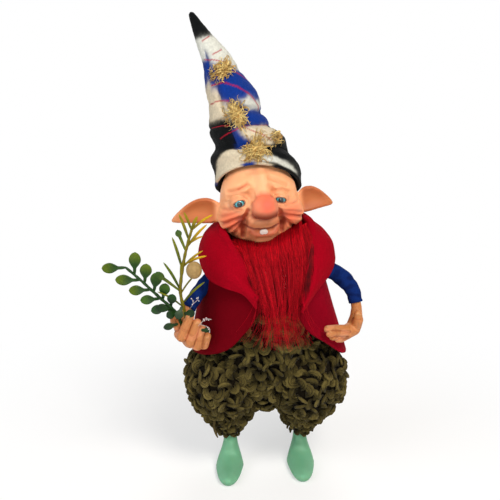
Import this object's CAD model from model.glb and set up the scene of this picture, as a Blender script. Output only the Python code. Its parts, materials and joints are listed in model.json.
"""Elf figurine: the fine surface and the finishes of a handmade doll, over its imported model.

Metres, +Z up, the figure faces -Y. Left and right are the figure's own. Every piece is
modelled round the figure's midline and then moved to where the figure stands.
"""

from __future__ import annotations

import json
import logging
import math
from dataclasses import dataclass
from enum import Enum
from typing import Sequence

import bmesh
import bpy
import numpy as np
from mathutils import Euler, Matrix, Vector, noise
from mathutils.bvhtree import BVHTree

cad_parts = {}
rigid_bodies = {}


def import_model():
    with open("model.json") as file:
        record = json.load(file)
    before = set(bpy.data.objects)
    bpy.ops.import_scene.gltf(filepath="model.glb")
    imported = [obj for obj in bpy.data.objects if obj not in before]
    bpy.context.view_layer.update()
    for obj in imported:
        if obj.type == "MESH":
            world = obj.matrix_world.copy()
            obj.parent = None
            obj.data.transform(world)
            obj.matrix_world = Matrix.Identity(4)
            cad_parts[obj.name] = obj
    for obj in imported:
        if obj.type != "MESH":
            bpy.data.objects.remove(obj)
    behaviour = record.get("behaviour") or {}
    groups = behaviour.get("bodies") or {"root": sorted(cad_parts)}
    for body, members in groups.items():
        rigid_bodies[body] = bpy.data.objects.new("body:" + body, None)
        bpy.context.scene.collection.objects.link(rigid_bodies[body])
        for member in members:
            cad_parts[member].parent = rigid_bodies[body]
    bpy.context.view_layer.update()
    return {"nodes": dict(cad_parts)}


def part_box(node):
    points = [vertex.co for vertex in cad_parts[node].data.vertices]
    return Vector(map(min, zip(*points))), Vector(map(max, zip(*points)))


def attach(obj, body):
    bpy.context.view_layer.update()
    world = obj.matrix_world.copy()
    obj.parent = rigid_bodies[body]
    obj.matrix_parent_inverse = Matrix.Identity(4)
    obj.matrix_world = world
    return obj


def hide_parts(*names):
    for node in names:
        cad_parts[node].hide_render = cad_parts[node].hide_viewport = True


log = logging.getLogger("elf")

MM = 0.001
MIDLINE = Vector((0.0219, 0.0058, 0.0))
BODY = "root"
# Where rays start that look at the figure from the front, and Y of a surface that they all miss
EYE_LINE_Y = -0.12
NOWHERE = 1.0

Points = Sequence[Sequence[float]]


class Side(Enum):
    """The figure's own sides."""

    RIGHT = -1
    LEFT = 1

    @property
    def word(self) -> str:
        """The side's name as the nodes write it."""
        return self.name.lower()


# How far each foot stands behind the middle
FOOT_Y = {Side.RIGHT: -0.002, Side.LEFT: 0.004}


# Colour and shader tools


def linear(code: str) -> np.ndarray:
    """Linear RGB of an sRGB hex colour.

    Args:
        code: The colour as #RRGGBB.

    Returns:
        Three values from 0 to 1.
    """
    values = np.array([int(code[i : i + 2], 16) / 255 for i in (1, 3, 5)])
    return np.where(values > 0.04045, ((values + 0.055) / 1.055) ** 2.4, values / 12.92)


def rgba(code: str) -> tuple[float, float, float, float]:
    """Linear colour of a hex code, as a colour socket takes it."""
    return (*(float(v) for v in linear(code)), 1.0)


def feed(node: bpy.types.Node, inputs: dict) -> None:
    """Sets a node's inputs to values or links them to sockets, by input name or number."""
    for key, value in inputs.items():
        if isinstance(value, bpy.types.NodeSocket):
            node.id_data.links.new(value, node.inputs[key])
        else:
            node.inputs[key].default_value = value


def add_node(tree: bpy.types.NodeTree, kind: str, inputs: dict | None = None, **settings) -> bpy.types.Node:
    """Adds a shader node.

    Args:
        tree: The material's tree.
        kind: The node's type.
        inputs: Values, or sockets to link, by input name or number.
        **settings: The node's own properties.

    Returns:
        The node.
    """
    made = tree.nodes.new(kind)
    for name, value in settings.items():
        setattr(made, name, value)
    feed(made, inputs or {})
    return made


def noise_in(place: bpy.types.NodeSocket, scale: float, detail: float, **more: float) -> bpy.types.NodeSocket:
    """Noise at a place: scale is spots a metre, and more holds further inputs."""
    inputs = {"Vector": place, "Scale": scale, "Detail": detail, **more}
    return add_node(place.id_data, "ShaderNodeTexNoise", inputs).outputs["Fac"]


def bump_from(height: bpy.types.NodeSocket, strength: float, distance: float) -> bpy.types.NodeSocket:
    """A normal that height raises by distance in metres."""
    inputs = {"Height": height, "Strength": strength, "Distance": distance}
    return add_node(height.id_data, "ShaderNodeBump", inputs).outputs[0]


def plain(code: str, count: int) -> np.ndarray:
    """One linear colour for each of count points."""
    return np.tile(linear(code), (count, 1))


def over(colours: np.ndarray, code: str, amount: np.ndarray | float) -> np.ndarray:
    """Lays a colour over others.

    Args:
        colours: Linear colours, one row a point.
        code: The colour laid on, as #RRGGBB.
        amount: How much covers each point, from 0 to 1.

    Returns:
        The new colours.
    """
    share = np.clip(amount, 0, 1)
    share = share[..., None] if isinstance(share, np.ndarray) else share
    return colours + (linear(code) - colours) * share


def layered(colours: np.ndarray, *layers: tuple[str, np.ndarray]) -> np.ndarray:
    """Lays several colours over others, each with how much of it covers each point."""
    for code, amount in layers:
        colours = over(colours, code, amount)
    return colours


# Finishes


@dataclass(frozen=True)
class Finish:
    """A finish: its name and how it shades. Colour comes from the paint on each piece."""

    name: str

    def shade(self, tree: bpy.types.NodeTree, shader: bpy.types.Node) -> None:
        """Sets the shader up; each kind of finish has its own."""
        raise NotImplementedError

    def material(self) -> bpy.types.Material:
        """The material, made the first time it is asked for."""
        found = bpy.data.materials.get(self.name)
        if found:
            return found
        made = bpy.data.materials.new(self.name)
        made.use_nodes = True
        self.shade(made.node_tree, made.node_tree.nodes["Principled BSDF"])
        return made


def painted(tree: bpy.types.NodeTree, scale: float, low: float) -> tuple[bpy.types.NodeSocket, ...]:
    """The piece's own paint, mottled by noise.

    Args:
        tree: The material's tree.
        scale: Spots a metre.
        low: The darkest that a spot makes the paint, as a share of it.

    Returns:
        The colour socket, the noise's socket and the place socket.
    """
    place = add_node(tree, "ShaderNodeTexCoord").outputs["Object"]
    spots = noise_in(place, scale, 4.0)
    limits = {"Value": spots, "From Min": 0.3, "From Max": 0.7, "To Min": low, "To Max": 2 - low}
    level = add_node(tree, "ShaderNodeMapRange", limits).outputs[0]
    paint = add_node(tree, "ShaderNodeAttribute", attribute_name="paint").outputs["Color"]
    mixed = add_node(tree, "ShaderNodeVectorMath", {0: paint, "Scale": level}, operation="SCALE")
    return mixed.outputs[0], spots, place


@dataclass(frozen=True)
class ClayFinish(Finish):
    """Polymer clay, modelled by hand, cured and rubbed with pastel: soft, dense and faintly translucent."""

    roughness: float = 0.52
    depth: float = 0.0016
    grain: float = 900.0

    def shade(self, tree: bpy.types.NodeTree, shader: bpy.types.Node) -> None:
        """Paint under a satin skin with tool marks of about a millimetre."""
        colour, spots, place = painted(tree, 160, 0.965)
        limits = {"Value": spots, "To Min": self.roughness - 0.06, "To Max": self.roughness + 0.08}
        inputs = {
            "Base Color": colour,
            "Roughness": add_node(tree, "ShaderNodeMapRange", limits).outputs[0],
            "Normal": bump_from(noise_in(place, self.grain, 3.0), 0.10, 0.0005),
            "Subsurface Weight": 0.18,
            "Subsurface Radius": (1.0, 0.38, 0.22),
            "Subsurface Scale": self.depth,
            "Specular IOR Level": 0.36,
        }
        feed(shader, inputs)


@dataclass(frozen=True)
class NapFinish(Finish):
    """Felt or fleece: fibres that lie every way, so the cloth has no gloss."""

    fibre: float = 0.35 * MM
    clump: float = 2.2 * MM
    rise: float = 0.00035
    contrast: float = 0.88
    sheen: float = 0.35

    def shade(self, tree: bpy.types.NodeTree, shader: bpy.types.Node) -> None:
        """Fibres drawn at their real width, and clumps of them."""
        colour, clumps, place = painted(tree, 1 / self.clump, self.contrast)
        fibres = noise_in(place, 1 / self.fibre, 2.0, Distortion=1.6)
        both = add_node(tree, "ShaderNodeMath", {0: fibres, 1: clumps}, operation="MULTIPLY").outputs[0]
        inputs = {
            "Base Color": colour,
            "Normal": bump_from(both, 0.55, self.rise),
            "Roughness": 0.95,
            "Specular IOR Level": 0.05,
            "Sheen Weight": self.sheen,
            "Sheen Roughness": 0.45,
        }
        feed(shader, inputs)


@dataclass(frozen=True)
class StrandFinish(Finish):
    """Hair, yarn or raffia: fine parallel fibres, so the bump runs along each strand."""

    roughness: float = 0.6
    specular: float = 0.3
    contrast: float = 0.8
    ribs: float = 5.0
    sheen: float = 0.2

    def shade(self, tree: bpy.types.NodeTree, shader: bpy.types.Node) -> None:
        """Ribs round the strand that wander along it."""
        colour, _, _ = painted(tree, 420, self.contrast)
        lie = add_node(tree, "ShaderNodeAttribute", attribute_name="lie").outputs["Vector"]
        inputs = {
            "Base Color": colour,
            "Normal": bump_from(noise_in(lie, self.ribs, 3.0), 0.5, 0.0004),
            "Roughness": self.roughness,
            "Specular IOR Level": self.specular,
            "Sheen Weight": self.sheen,
        }
        feed(shader, inputs)


@dataclass(frozen=True)
class GlazedFinish(Finish):
    """Glass eyes or glazed clay: paint under a clear, hard, polished cover."""

    roughness: float = 0.25
    coat: float = 1.0

    def shade(self, tree: bpy.types.NodeTree, shader: bpy.types.Node) -> None:
        """Paint with a clear coat over it."""
        colour, _, _ = painted(tree, 900, 0.97)
        inputs = {
            "Base Color": colour,
            "Roughness": self.roughness,
            "Coat Weight": self.coat,
            "Coat Roughness": 0.03,
            "IOR": 1.5,
        }
        feed(shader, inputs)


@dataclass(frozen=True)
class PlasticFinish(Finish):
    """Moulded leaf plastic, a little waxy, with paint sprayed towards the tips."""

    roughness: float = 0.42

    def shade(self, tree: bpy.types.NodeTree, shader: bpy.types.Node) -> None:
        """Paint with fine mould grain."""
        colour, _, place = painted(tree, 500, 0.86)
        inputs = {
            "Base Color": colour,
            "Normal": bump_from(noise_in(place, 1500.0, 2.0), 0.15, 0.0002),
            "Roughness": self.roughness,
            "Specular IOR Level": 0.22,
            "Subsurface Weight": 0.08,
            "Subsurface Scale": 0.001,
        }
        feed(shader, inputs)


@dataclass(frozen=True)
class PlainFinish(Finish):
    """A hidden piece's finish: one colour with its own fine grain."""

    code: str = "#D8CDB8"
    roughness: float = 0.9
    metallic: float = 0.0
    scale: float = 800.0

    def shade(self, tree: bpy.types.NodeTree, shader: bpy.types.Node) -> None:
        """The colour, lightened and darkened by fine noise."""
        grain = noise_in(add_node(tree, "ShaderNodeTexCoord").outputs["Object"], self.scale, 3.0)
        ramp = add_node(tree, "ShaderNodeValToRGB", {"Fac": grain})
        low, high = ramp.color_ramp.elements
        low.color = (*(linear(self.code) * 0.75), 1)
        high.color = (*np.clip(linear(self.code) * 1.15, 0, 1), 1)
        inputs = {
            "Base Color": ramp.outputs[0],
            "Normal": bump_from(grain, 0.3, 0.0002),
            "Roughness": self.roughness,
            "Metallic": self.metallic,
        }
        feed(shader, inputs)


SKIN = ClayFinish("cured_polymer_clay_skin")
MINT_CLAY = ClayFinish("cured_polymer_clay_mint", roughness=0.48, depth=0.0008)
TOOTH_CLAY = GlazedFinish("glazed_white_clay", roughness=0.3, coat=0.4)
EYE_GLASS = GlazedFinish("lampworked_eye_glass", roughness=0.2)
FLEECE = NapFinish("brushed_polyester_fleece", clump=1.6 * MM, rise=0.0007, contrast=0.90, sheen=0.06)
FELT = NapFinish("pressed_wool_felt", clump=1.1 * MM, rise=0.0004, contrast=0.88, sheen=0.0)
SLEEVE_CLOTH = NapFinish("blue_cotton_jersey", fibre=0.5 * MM, clump=1.0 * MM, contrast=0.85, sheen=0.0)
COMBED_WOOL = StrandFinish("combed_red_wool", roughness=0.6, specular=0.10, contrast=0.93, sheen=0.0)
LOOP_YARN = StrandFinish("boucle_wool_yarn", roughness=0.9, specular=0.06, sheen=0.04)
RAFFIA = StrandFinish("split_raffia", roughness=0.55, specular=0.35, contrast=0.75, ribs=3.0, sheen=0.0)
LEAF = PlasticFinish("moulded_leaf_plastic")
BERRY_WOOD = PlasticFinish("turned_beech_bead", roughness=0.5)
HIDDEN_CLOTH = PlainFinish("calico_body_cloth")
HIDDEN_WADDING = PlainFinish("polyester_wadding", code="#E8E4DA", scale=300.0)
HIDDEN_WIRE = PlainFinish("drawn_aluminium_wire", code="#8A8C8E", roughness=0.4, metallic=1.0, scale=2500.0)


# Shape tools

# How the lie of the fibres differs from strand to strand, and how fast it runs along one
STRAND_STEP = 3.7
RIBS_A_METRE = 60


def bump(distance: np.ndarray, radius: float | np.ndarray) -> np.ndarray:
    """1 at no distance, falling smoothly to 0 at the radius."""
    share = np.clip(1 - (distance / radius) ** 2, 0, None)
    return share * share


def step(value: np.ndarray, low: float, high: float) -> np.ndarray:
    """0 below low, 1 above high, and smooth between them."""
    share = np.clip((value - low) / (high - low), 0, 1)
    return share * share * (3 - 2 * share)


def smooth_max(a: np.ndarray, b: np.ndarray, soft: float) -> np.ndarray:
    """The larger of two values, rounded where they are within soft of each other."""
    near = np.maximum(soft - np.abs(a - b), 0.0) / soft
    return np.maximum(a, b) + near * near * soft / 4


def unit(rows: np.ndarray) -> np.ndarray:
    """Rows scaled to a length of 1."""
    return rows / np.maximum(np.linalg.norm(rows, axis=-1, keepdims=True), 1e-12)


def curve_through(points: Points, t: np.ndarray) -> np.ndarray:
    """Places on a smooth curve through points.

    Args:
        points: The points, each with as many values as is wanted.
        t: Where on the curve, from 0 to 1.

    Returns:
        One row for each t.
    """
    knots = np.asarray(points, float)
    last = len(knots) - 1
    place = np.clip(np.asarray(t, float), 0, 1) * last
    i = np.minimum(place.astype(int), last - 1)
    f = (place - i)[..., None]
    a, b = knots[np.maximum(i - 1, 0)], knots[i]
    c, d = knots[i + 1], knots[np.minimum(i + 2, last)]
    return b + 0.5 * f * (c - a + (2 * a - 5 * b + 4 * c - d) * f + (3 * b - a - 3 * c + d) * f * f)


def line_distance(x: np.ndarray, y: np.ndarray, line: Points, wide: np.ndarray | float = 1.0) -> np.ndarray:
    """Distance in a plane from places to a line of points.

    Args:
        x: The places' first coordinate.
        y: Their second.
        line: Two or more points.
        wide: How many units of length one unit of x is at each place.

    Returns:
        The distances.
    """
    nearest = np.full(np.shape(x), np.inf)
    for (ax, ay), (bx, by) in zip(line, line[1:]):
        px, py = (x - ax) * wide, y - ay
        dx, dy = (bx - ax) * wide, by - ay
        share = np.clip((px * dx + py * dy) / (dx * dx + dy * dy + 1e-12), 0, 1)
        nearest = np.minimum(nearest, np.hypot(px - share * dx, py - share * dy))
    return nearest


def speckle(places: np.ndarray, size: float, seed: float = 0.0) -> np.ndarray:
    """Smooth noise at places, from about -1 to 1, with lumps of a given size."""
    shift = Vector((seed, 2 * seed, 3 * seed))
    return np.array([noise.noise(Vector(p) / size + shift) for p in places])


def coordinates(mesh: bpy.types.Mesh, field: str = "co") -> np.ndarray:
    """The mesh's vertices, one row each."""
    flat = np.empty(len(mesh.vertices) * 3, np.float32)
    mesh.vertices.foreach_get(field, flat)
    return flat.reshape(-1, 3).astype(float)


def normals(mesh: bpy.types.Mesh) -> np.ndarray:
    """The vertices' normals, one row each."""
    return coordinates(mesh, "normal")


def set_coordinates(mesh: bpy.types.Mesh, places: np.ndarray) -> None:
    """Moves the mesh's vertices to the given rows."""
    mesh.vertices.foreach_set("co", places.astype(np.float32).ravel())
    mesh.update()


def as_mesh(name: str, bm: bmesh.types.BMesh) -> bpy.types.Mesh:
    """The bmesh as a mesh; the bmesh is freed."""
    mesh = bpy.data.meshes.new(name)
    bm.to_mesh(mesh)
    bm.free()
    return mesh


def joined(name: str, meshes: Sequence[bpy.types.Mesh]) -> bpy.types.Mesh:
    """One mesh that holds several, with their attributes."""
    whole = bmesh.new()
    for mesh in meshes:
        whole.from_mesh(mesh)
        bpy.data.meshes.remove(mesh)
    return as_mesh(name, whole)


def add_attribute(mesh: bpy.types.Mesh, name: str, rows: np.ndarray) -> None:
    """Stores one colour (paint) or vector (lie) for each vertex."""
    if name == "paint":
        made = mesh.color_attributes.new(name=name, type="FLOAT_COLOR", domain="POINT")
        full = np.ones((len(rows), 4), np.float32)
        full[:, :3] = np.clip(rows, 0, 1)
        made.data.foreach_set("color", full.ravel())
    else:
        made = mesh.attributes.new(name=name, type="FLOAT_VECTOR", domain="POINT")
        made.data.foreach_set("vector", rows.astype(np.float32).ravel())


def surface_of(mesh: bpy.types.Mesh) -> BVHTree:
    """The mesh's surface, for rays."""
    bm = bmesh.new()
    bm.from_mesh(mesh)
    surface = BVHTree.FromBMesh(bm)
    bm.free()
    return surface


def front_of(surface: BVHTree, x: float, z: float, missed: float) -> float:
    """Y of the first surface behind a place, seen from the front; missed where there is none."""
    hit = surface.ray_cast(Vector((x, EYE_LINE_Y, z)), Vector((0, 1, 0)))[0]
    return hit.y if hit else missed


def spots_of(bm: bmesh.types.BMesh) -> np.ndarray:
    """The bmesh's vertices, one row each."""
    return np.array([v.co for v in bm.verts])


def move(bm: bmesh.types.BMesh, places: np.ndarray) -> None:
    """Moves the bmesh's vertices to the given rows."""
    for vert, spot in zip(bm.verts, places):
        vert.co = spot


def grid_form(columns: int, rows: int) -> tuple[bmesh.types.BMesh, np.ndarray, np.ndarray]:
    """A flat grid, with each vertex's share across it and along it from 0 to 1."""
    bm = bmesh.new()
    bmesh.ops.create_grid(bm, x_segments=columns, y_segments=rows, size=1)
    across, along, _ = (spots_of(bm).T + 1) / 2
    return bm, across, along


def smoothed(bm: bmesh.types.BMesh, verts: list, factor: float, times: int) -> None:
    """Smooths some of the bmesh's vertices several times."""
    for _ in range(times):
        bmesh.ops.smooth_vert(
            bm, verts=verts, factor=factor, use_axis_x=True, use_axis_y=True, use_axis_z=True
        )


def cone_between(start: Vector, end: Vector, radii: Sequence[float], segments: int) -> bmesh.types.BMesh:
    """A closed cone from start to end, with its radius at each."""
    run = end - start
    bm = bmesh.new()
    bmesh.ops.create_cone(
        bm, cap_ends=True, segments=segments, radius1=radii[0], radius2=radii[1], depth=run.length
    )
    turn = run.to_track_quat("Z", "Y").to_matrix().to_4x4()
    bm.transform(Matrix.Translation((start + end) / 2) @ turn)
    return bm


def ball(
    centre: Sequence[float], radii: Sequence[float], segments: int = 24, rings: int = 16
) -> bmesh.types.BMesh:
    """An ellipsoid."""
    bm = bmesh.new()
    bmesh.ops.create_uvsphere(bm, u_segments=segments, v_segments=rings, radius=1)
    bmesh.ops.scale(bm, vec=Vector(radii), verts=bm.verts)
    bmesh.ops.translate(bm, vec=Vector(centre), verts=bm.verts)
    return bm


def tube_form(rings: int, sides: int) -> tuple[bpy.types.Mesh, np.ndarray, np.ndarray]:
    """A straight closed tube, with each vertex's ring and its turn round the tube."""
    bm = bmesh.new()
    bmesh.ops.create_cone(
        bm, cap_ends=True, cap_tris=False, segments=sides, radius1=1, radius2=1, depth=rings - 1
    )
    if rings > 2:
        upright = [e for e in bm.edges if abs(e.verts[0].co.z - e.verts[1].co.z) > 0.5]
        bmesh.ops.subdivide_edges(bm, edges=upright, cuts=rings - 2, use_grid_fill=True)
    form = as_mesh("tube_form", bm)
    x, y, z = coordinates(form).T
    return form, np.rint(z + (rings - 1) / 2).astype(int), np.arctan2(y, x)


def strands(
    name: str,
    paths: np.ndarray,
    radii: np.ndarray,
    colours: np.ndarray,
    hints: np.ndarray,
    sides: int = 4,
    flat: float = 1.0,
) -> bpy.types.Mesh:
    """Closed tubes along many paths, in one mesh.

    Args:
        name: The mesh's name.
        paths: Points, by strand, ring and coordinate.
        radii: Radius, by strand and ring.
        colours: Linear colour, by strand and ring.
        hints: For each strand a direction that is never along it.
        sides: Sides of a tube.
        flat: Thickness as a share of the width; below 1 makes ribbons.

    Returns:
        The mesh, painted, with the lie of the fibres.
    """
    count, rings, _ = paths.shape
    form, ring, turn = tube_form(rings, sides)
    ahead = unit(np.gradient(paths, axis=1))
    side = unit(np.cross(ahead, hints[:, None, :]))
    up = np.cross(side, ahead)
    cosine, sine = np.cos(turn)[:, None], np.sin(turn)[:, None]
    spread = cosine * side[:, ring] + flat * sine * up[:, ring]
    places = paths[:, ring] + radii[:, ring, None] * spread
    whole = bmesh.new()
    for _ in range(count):
        whole.from_mesh(form)
    bpy.data.meshes.remove(form)
    mesh = as_mesh(name, whole)
    set_coordinates(mesh, places.reshape(-1, 3))
    add_attribute(mesh, "paint", colours[:, ring].reshape(-1, 3))
    runs = np.pad(np.cumsum(np.linalg.norm(np.diff(paths, axis=1), axis=2), axis=1), ((0, 0), (1, 0)))
    lie = np.empty((count, len(turn), 3))
    lie[..., 0] = np.cos(turn) + STRAND_STEP * np.arange(count)[:, None]
    lie[..., 1] = np.sin(turn)
    lie[..., 2] = runs[:, ring] * RIBS_A_METRE
    add_attribute(mesh, "lie", lie.reshape(-1, 3))
    return mesh


def skinned(name: str, parts: Sequence[bmesh.types.BMesh], voxel: float, smoothing: int) -> bpy.types.Mesh:
    """Blends overlapping lumps into one skin, as clay is blended.

    Args:
        name: The mesh's name.
        parts: The lumps; they are freed.
        voxel: Size of the skin's facets.
        smoothing: How many times the skin is smoothed.

    Returns:
        The skin.
    """
    whole = joined(name + "_lumps", [as_mesh("lump", part) for part in parts])
    worker = bpy.data.objects.new(name + "_worker", whole)
    bpy.context.scene.collection.objects.link(worker)
    blend = worker.modifiers.new("blend", "REMESH")
    blend.mode = "VOXEL"
    blend.voxel_size = voxel
    if smoothing:
        soften = worker.modifiers.new("soften", "SMOOTH")
        soften.factor = 0.5
        soften.iterations = smoothing
    graph = bpy.context.evaluated_depsgraph_get()
    mesh = bpy.data.meshes.new_from_object(worker.evaluated_get(graph))
    bpy.data.objects.remove(worker)
    bpy.data.meshes.remove(whole)
    mesh.name = name
    return mesh


def place(
    name: str,
    mesh: bpy.types.Mesh,
    finish: Finish,
    slot: str,
    nodes: Sequence[str] = (),
    thick: float = 0.0,
) -> bpy.types.Object:
    """Puts a piece that was modelled round the figure's midline on the figure.

    Args:
        name: The piece's name.
        mesh: Its mesh.
        finish: Its finish.
        slot: The material slot that it takes its finish from.
        nodes: The nodes that it stands for.
        thick: Thickness of a sheet, laid evenly about its surface.

    Returns:
        The piece.
    """
    mesh.transform(Matrix.Translation(MIDLINE))
    mesh.name = name
    mesh.materials.clear()
    mesh.materials.append(finish.material())
    mesh.shade_smooth()
    piece = bpy.data.objects.new(name, mesh)
    bpy.context.scene.collection.objects.link(piece)
    if thick:
        wall = piece.modifiers.new("thickness", "SOLIDIFY")
        wall.thickness = thick
        wall.offset = 0
    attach(piece, BODY)
    if nodes:
        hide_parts(*nodes)
    log.info("%s: %d vertices, stands for %s", name, len(mesh.vertices), ", ".join(nodes) or "no node")
    return piece


# Head


@dataclass(frozen=True)
class Stroke:
    """One press or pull of a modelling tool on the face, in mm from the middle of the skull."""

    points: Points
    width: float
    height: float

    def at(self, x: np.ndarray, z: np.ndarray) -> np.ndarray:
        """How much of the stroke reaches each place, from 0 to 1."""
        return bump(line_distance(x, z, self.points), self.width)


def strokes_of(*rows: tuple) -> tuple[Stroke, ...]:
    """Strokes from rows of points, width and height."""
    return tuple(Stroke(*row) for row in rows)


def relief(strokes: Sequence[Stroke], x: np.ndarray, z: np.ndarray) -> np.ndarray:
    """Height in mm that the strokes give each place of the face."""
    return sum(stroke.height * stroke.at(x, z) for stroke in strokes)


FORMS = strokes_of(
    (((-15, -5), (-25, -10)), 12, 3.4),
    (((15, -5), (25, -10)), 12, 3.4),
    (((-8, 17.5), (-16, 16.5), (-24, 12)), 6.5, 2.0),
    (((8, 18), (16, 16), (23, 11.5)), 6.5, 2.0),
    (((-11, 7), (-19, 5.5)), 7.0, -2.6),
    (((10, 7), (17, 5.5)), 7.0, -2.6),
    (((1.4, 23), (1.2, 7)), 7.0, 3.6),
    (((-6.5, 12.5), (-8.5, 9.5)), 3.6, -1.5),
    (((7.0, 12.5), (8.2, 9.5)), 3.6, -1.5),
    (((-7, -8.8), (7, -8.8)), 8.0, 3.4),
    (((-15.5, -13), (-15.4, -14)), 4.5, -1.8),
    (((13.8, -13), (13.7, -14)), 4.5, -1.8),
    (((-6.5, -18.4), (6.5, -18.4)), 4.6, 3.0),
    (((-4, -25), (4, -25)), 7.0, 2.6),
)
CREASES = strokes_of(
    (((-10.8, 0.5), (-13.4, -4), (-15.2, -12), (-15.6, -20)), 3.0, -3.1),
    (((10.8, -1), (12.4, -5), (13.2, -12), (12.9, -19)), 3.0, -3.0),
    (((-13, -2.7), (-22, -6.2), (-32, -12)), 2.6, -2.3),
    (((-14.6, -5.7), (-21, -10.5), (-28, -17)), 2.6, -2.2),
    (((-14.8, -8.8), (-19, -14), (-23.6, -20.5)), 2.2, -1.5),
    (((-15.5, 0.4), (-22, -2.2), (-30.6, -6)), 2.2, -1.4),
    (((-20.6, 2.6), (-24, 0.4), (-28.8, -0.6)), 1.7, -1.1),
    (((-20.5, 5.0), (-24, 5.4), (-27, 5.0)), 1.4, -0.6),
    (((13.1, -4.8), (22, -8.2), (31, -13)), 2.6, -2.2),
    (((11.8, -6.4), (17.5, -12.5), (23.8, -20.2)), 2.5, -2.0),
    (((13.3, -2.1), (21, -4.4), (29.1, -8.2)), 2.2, -1.5),
    (((17, 1.6), (22, 0), (26.6, -0.6)), 1.7, -1.1),
    (((17.6, 4.2), (21, 4.4), (24.5, 3.6)), 1.4, -0.6),
)
BROW_LINES = strokes_of(
    (((-9.5, 18.4), (-16.0, 14.8), (-22.0, 12.8)), 2.6, -1.6),
    (((6.6, 21.6), (12.6, 18.6), (19.0, 14.0)), 2.4, -1.2),
    (((-7.4, 16.5), (-9.4, 8.5)), 3.0, -0.8),
    (((6.4, 16.5), (8.1, 9.0)), 2.8, -0.8),
    (((-3.0, 13.2), (4.6, 13.4)), 1.6, -0.2),
    (((-11.0, 11.6), (-16.5, 12.2), (-22.0, 9.2)), 2.6, -0.7),
    (((9.0, 11.6), (14.5, 11.6), (19.8, 8.6)), 2.4, -0.7),
    (((-12.0, 9.6), (-17.0, 9.9), (-21.0, 7.6)), 1.3, -0.5),
    (((-8, 25), (2, 26.5), (12, 24.5)), 2.2, -0.5),
)
MOUTH_LINE = Stroke(((-13.8, -10.8), (-8.1, -13.9), (-1.3, -15.1), (5, -14.5), (12.3, -10.8)), 1.9, -2.8)
# Where colour is rubbed in: the red over the right eye, the lower and the upper lip, and the mouth
PAINTED = (
    Stroke(((-9.8, 18.0), (-15.6, 14.9)), 1.3, 1),
    Stroke(((-9.5, -16.4), (-4, -18.2), (4, -18.2), (9, -16.0)), 4.2, 1),
    Stroke(((-11.5, -9.0), (-4, -10.5), (4, -10.2), (10.5, -8.6)), 4.6, 1),
    Stroke(MOUTH_LINE.points, 1.25, 1),
)
MOUTH = (
    MOUTH_LINE,
    Stroke(((-13.4, -11.2), (-15.6, -9.4)), 1.7, -1.3),
    Stroke(((11.9, -11.2), (14.1, -9.2)), 1.7, -1.2),
    Stroke(((-5, -22), (5, -22)), 2.6, -0.9),
    Stroke(((0.6, -8), (0.6, -11.5)), 1.5, -0.5),
    Stroke(((-9, -17.2), (-4, -18.6), (4, -18.6), (9, -16.8)), 2.4, 0.7),
)


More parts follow.
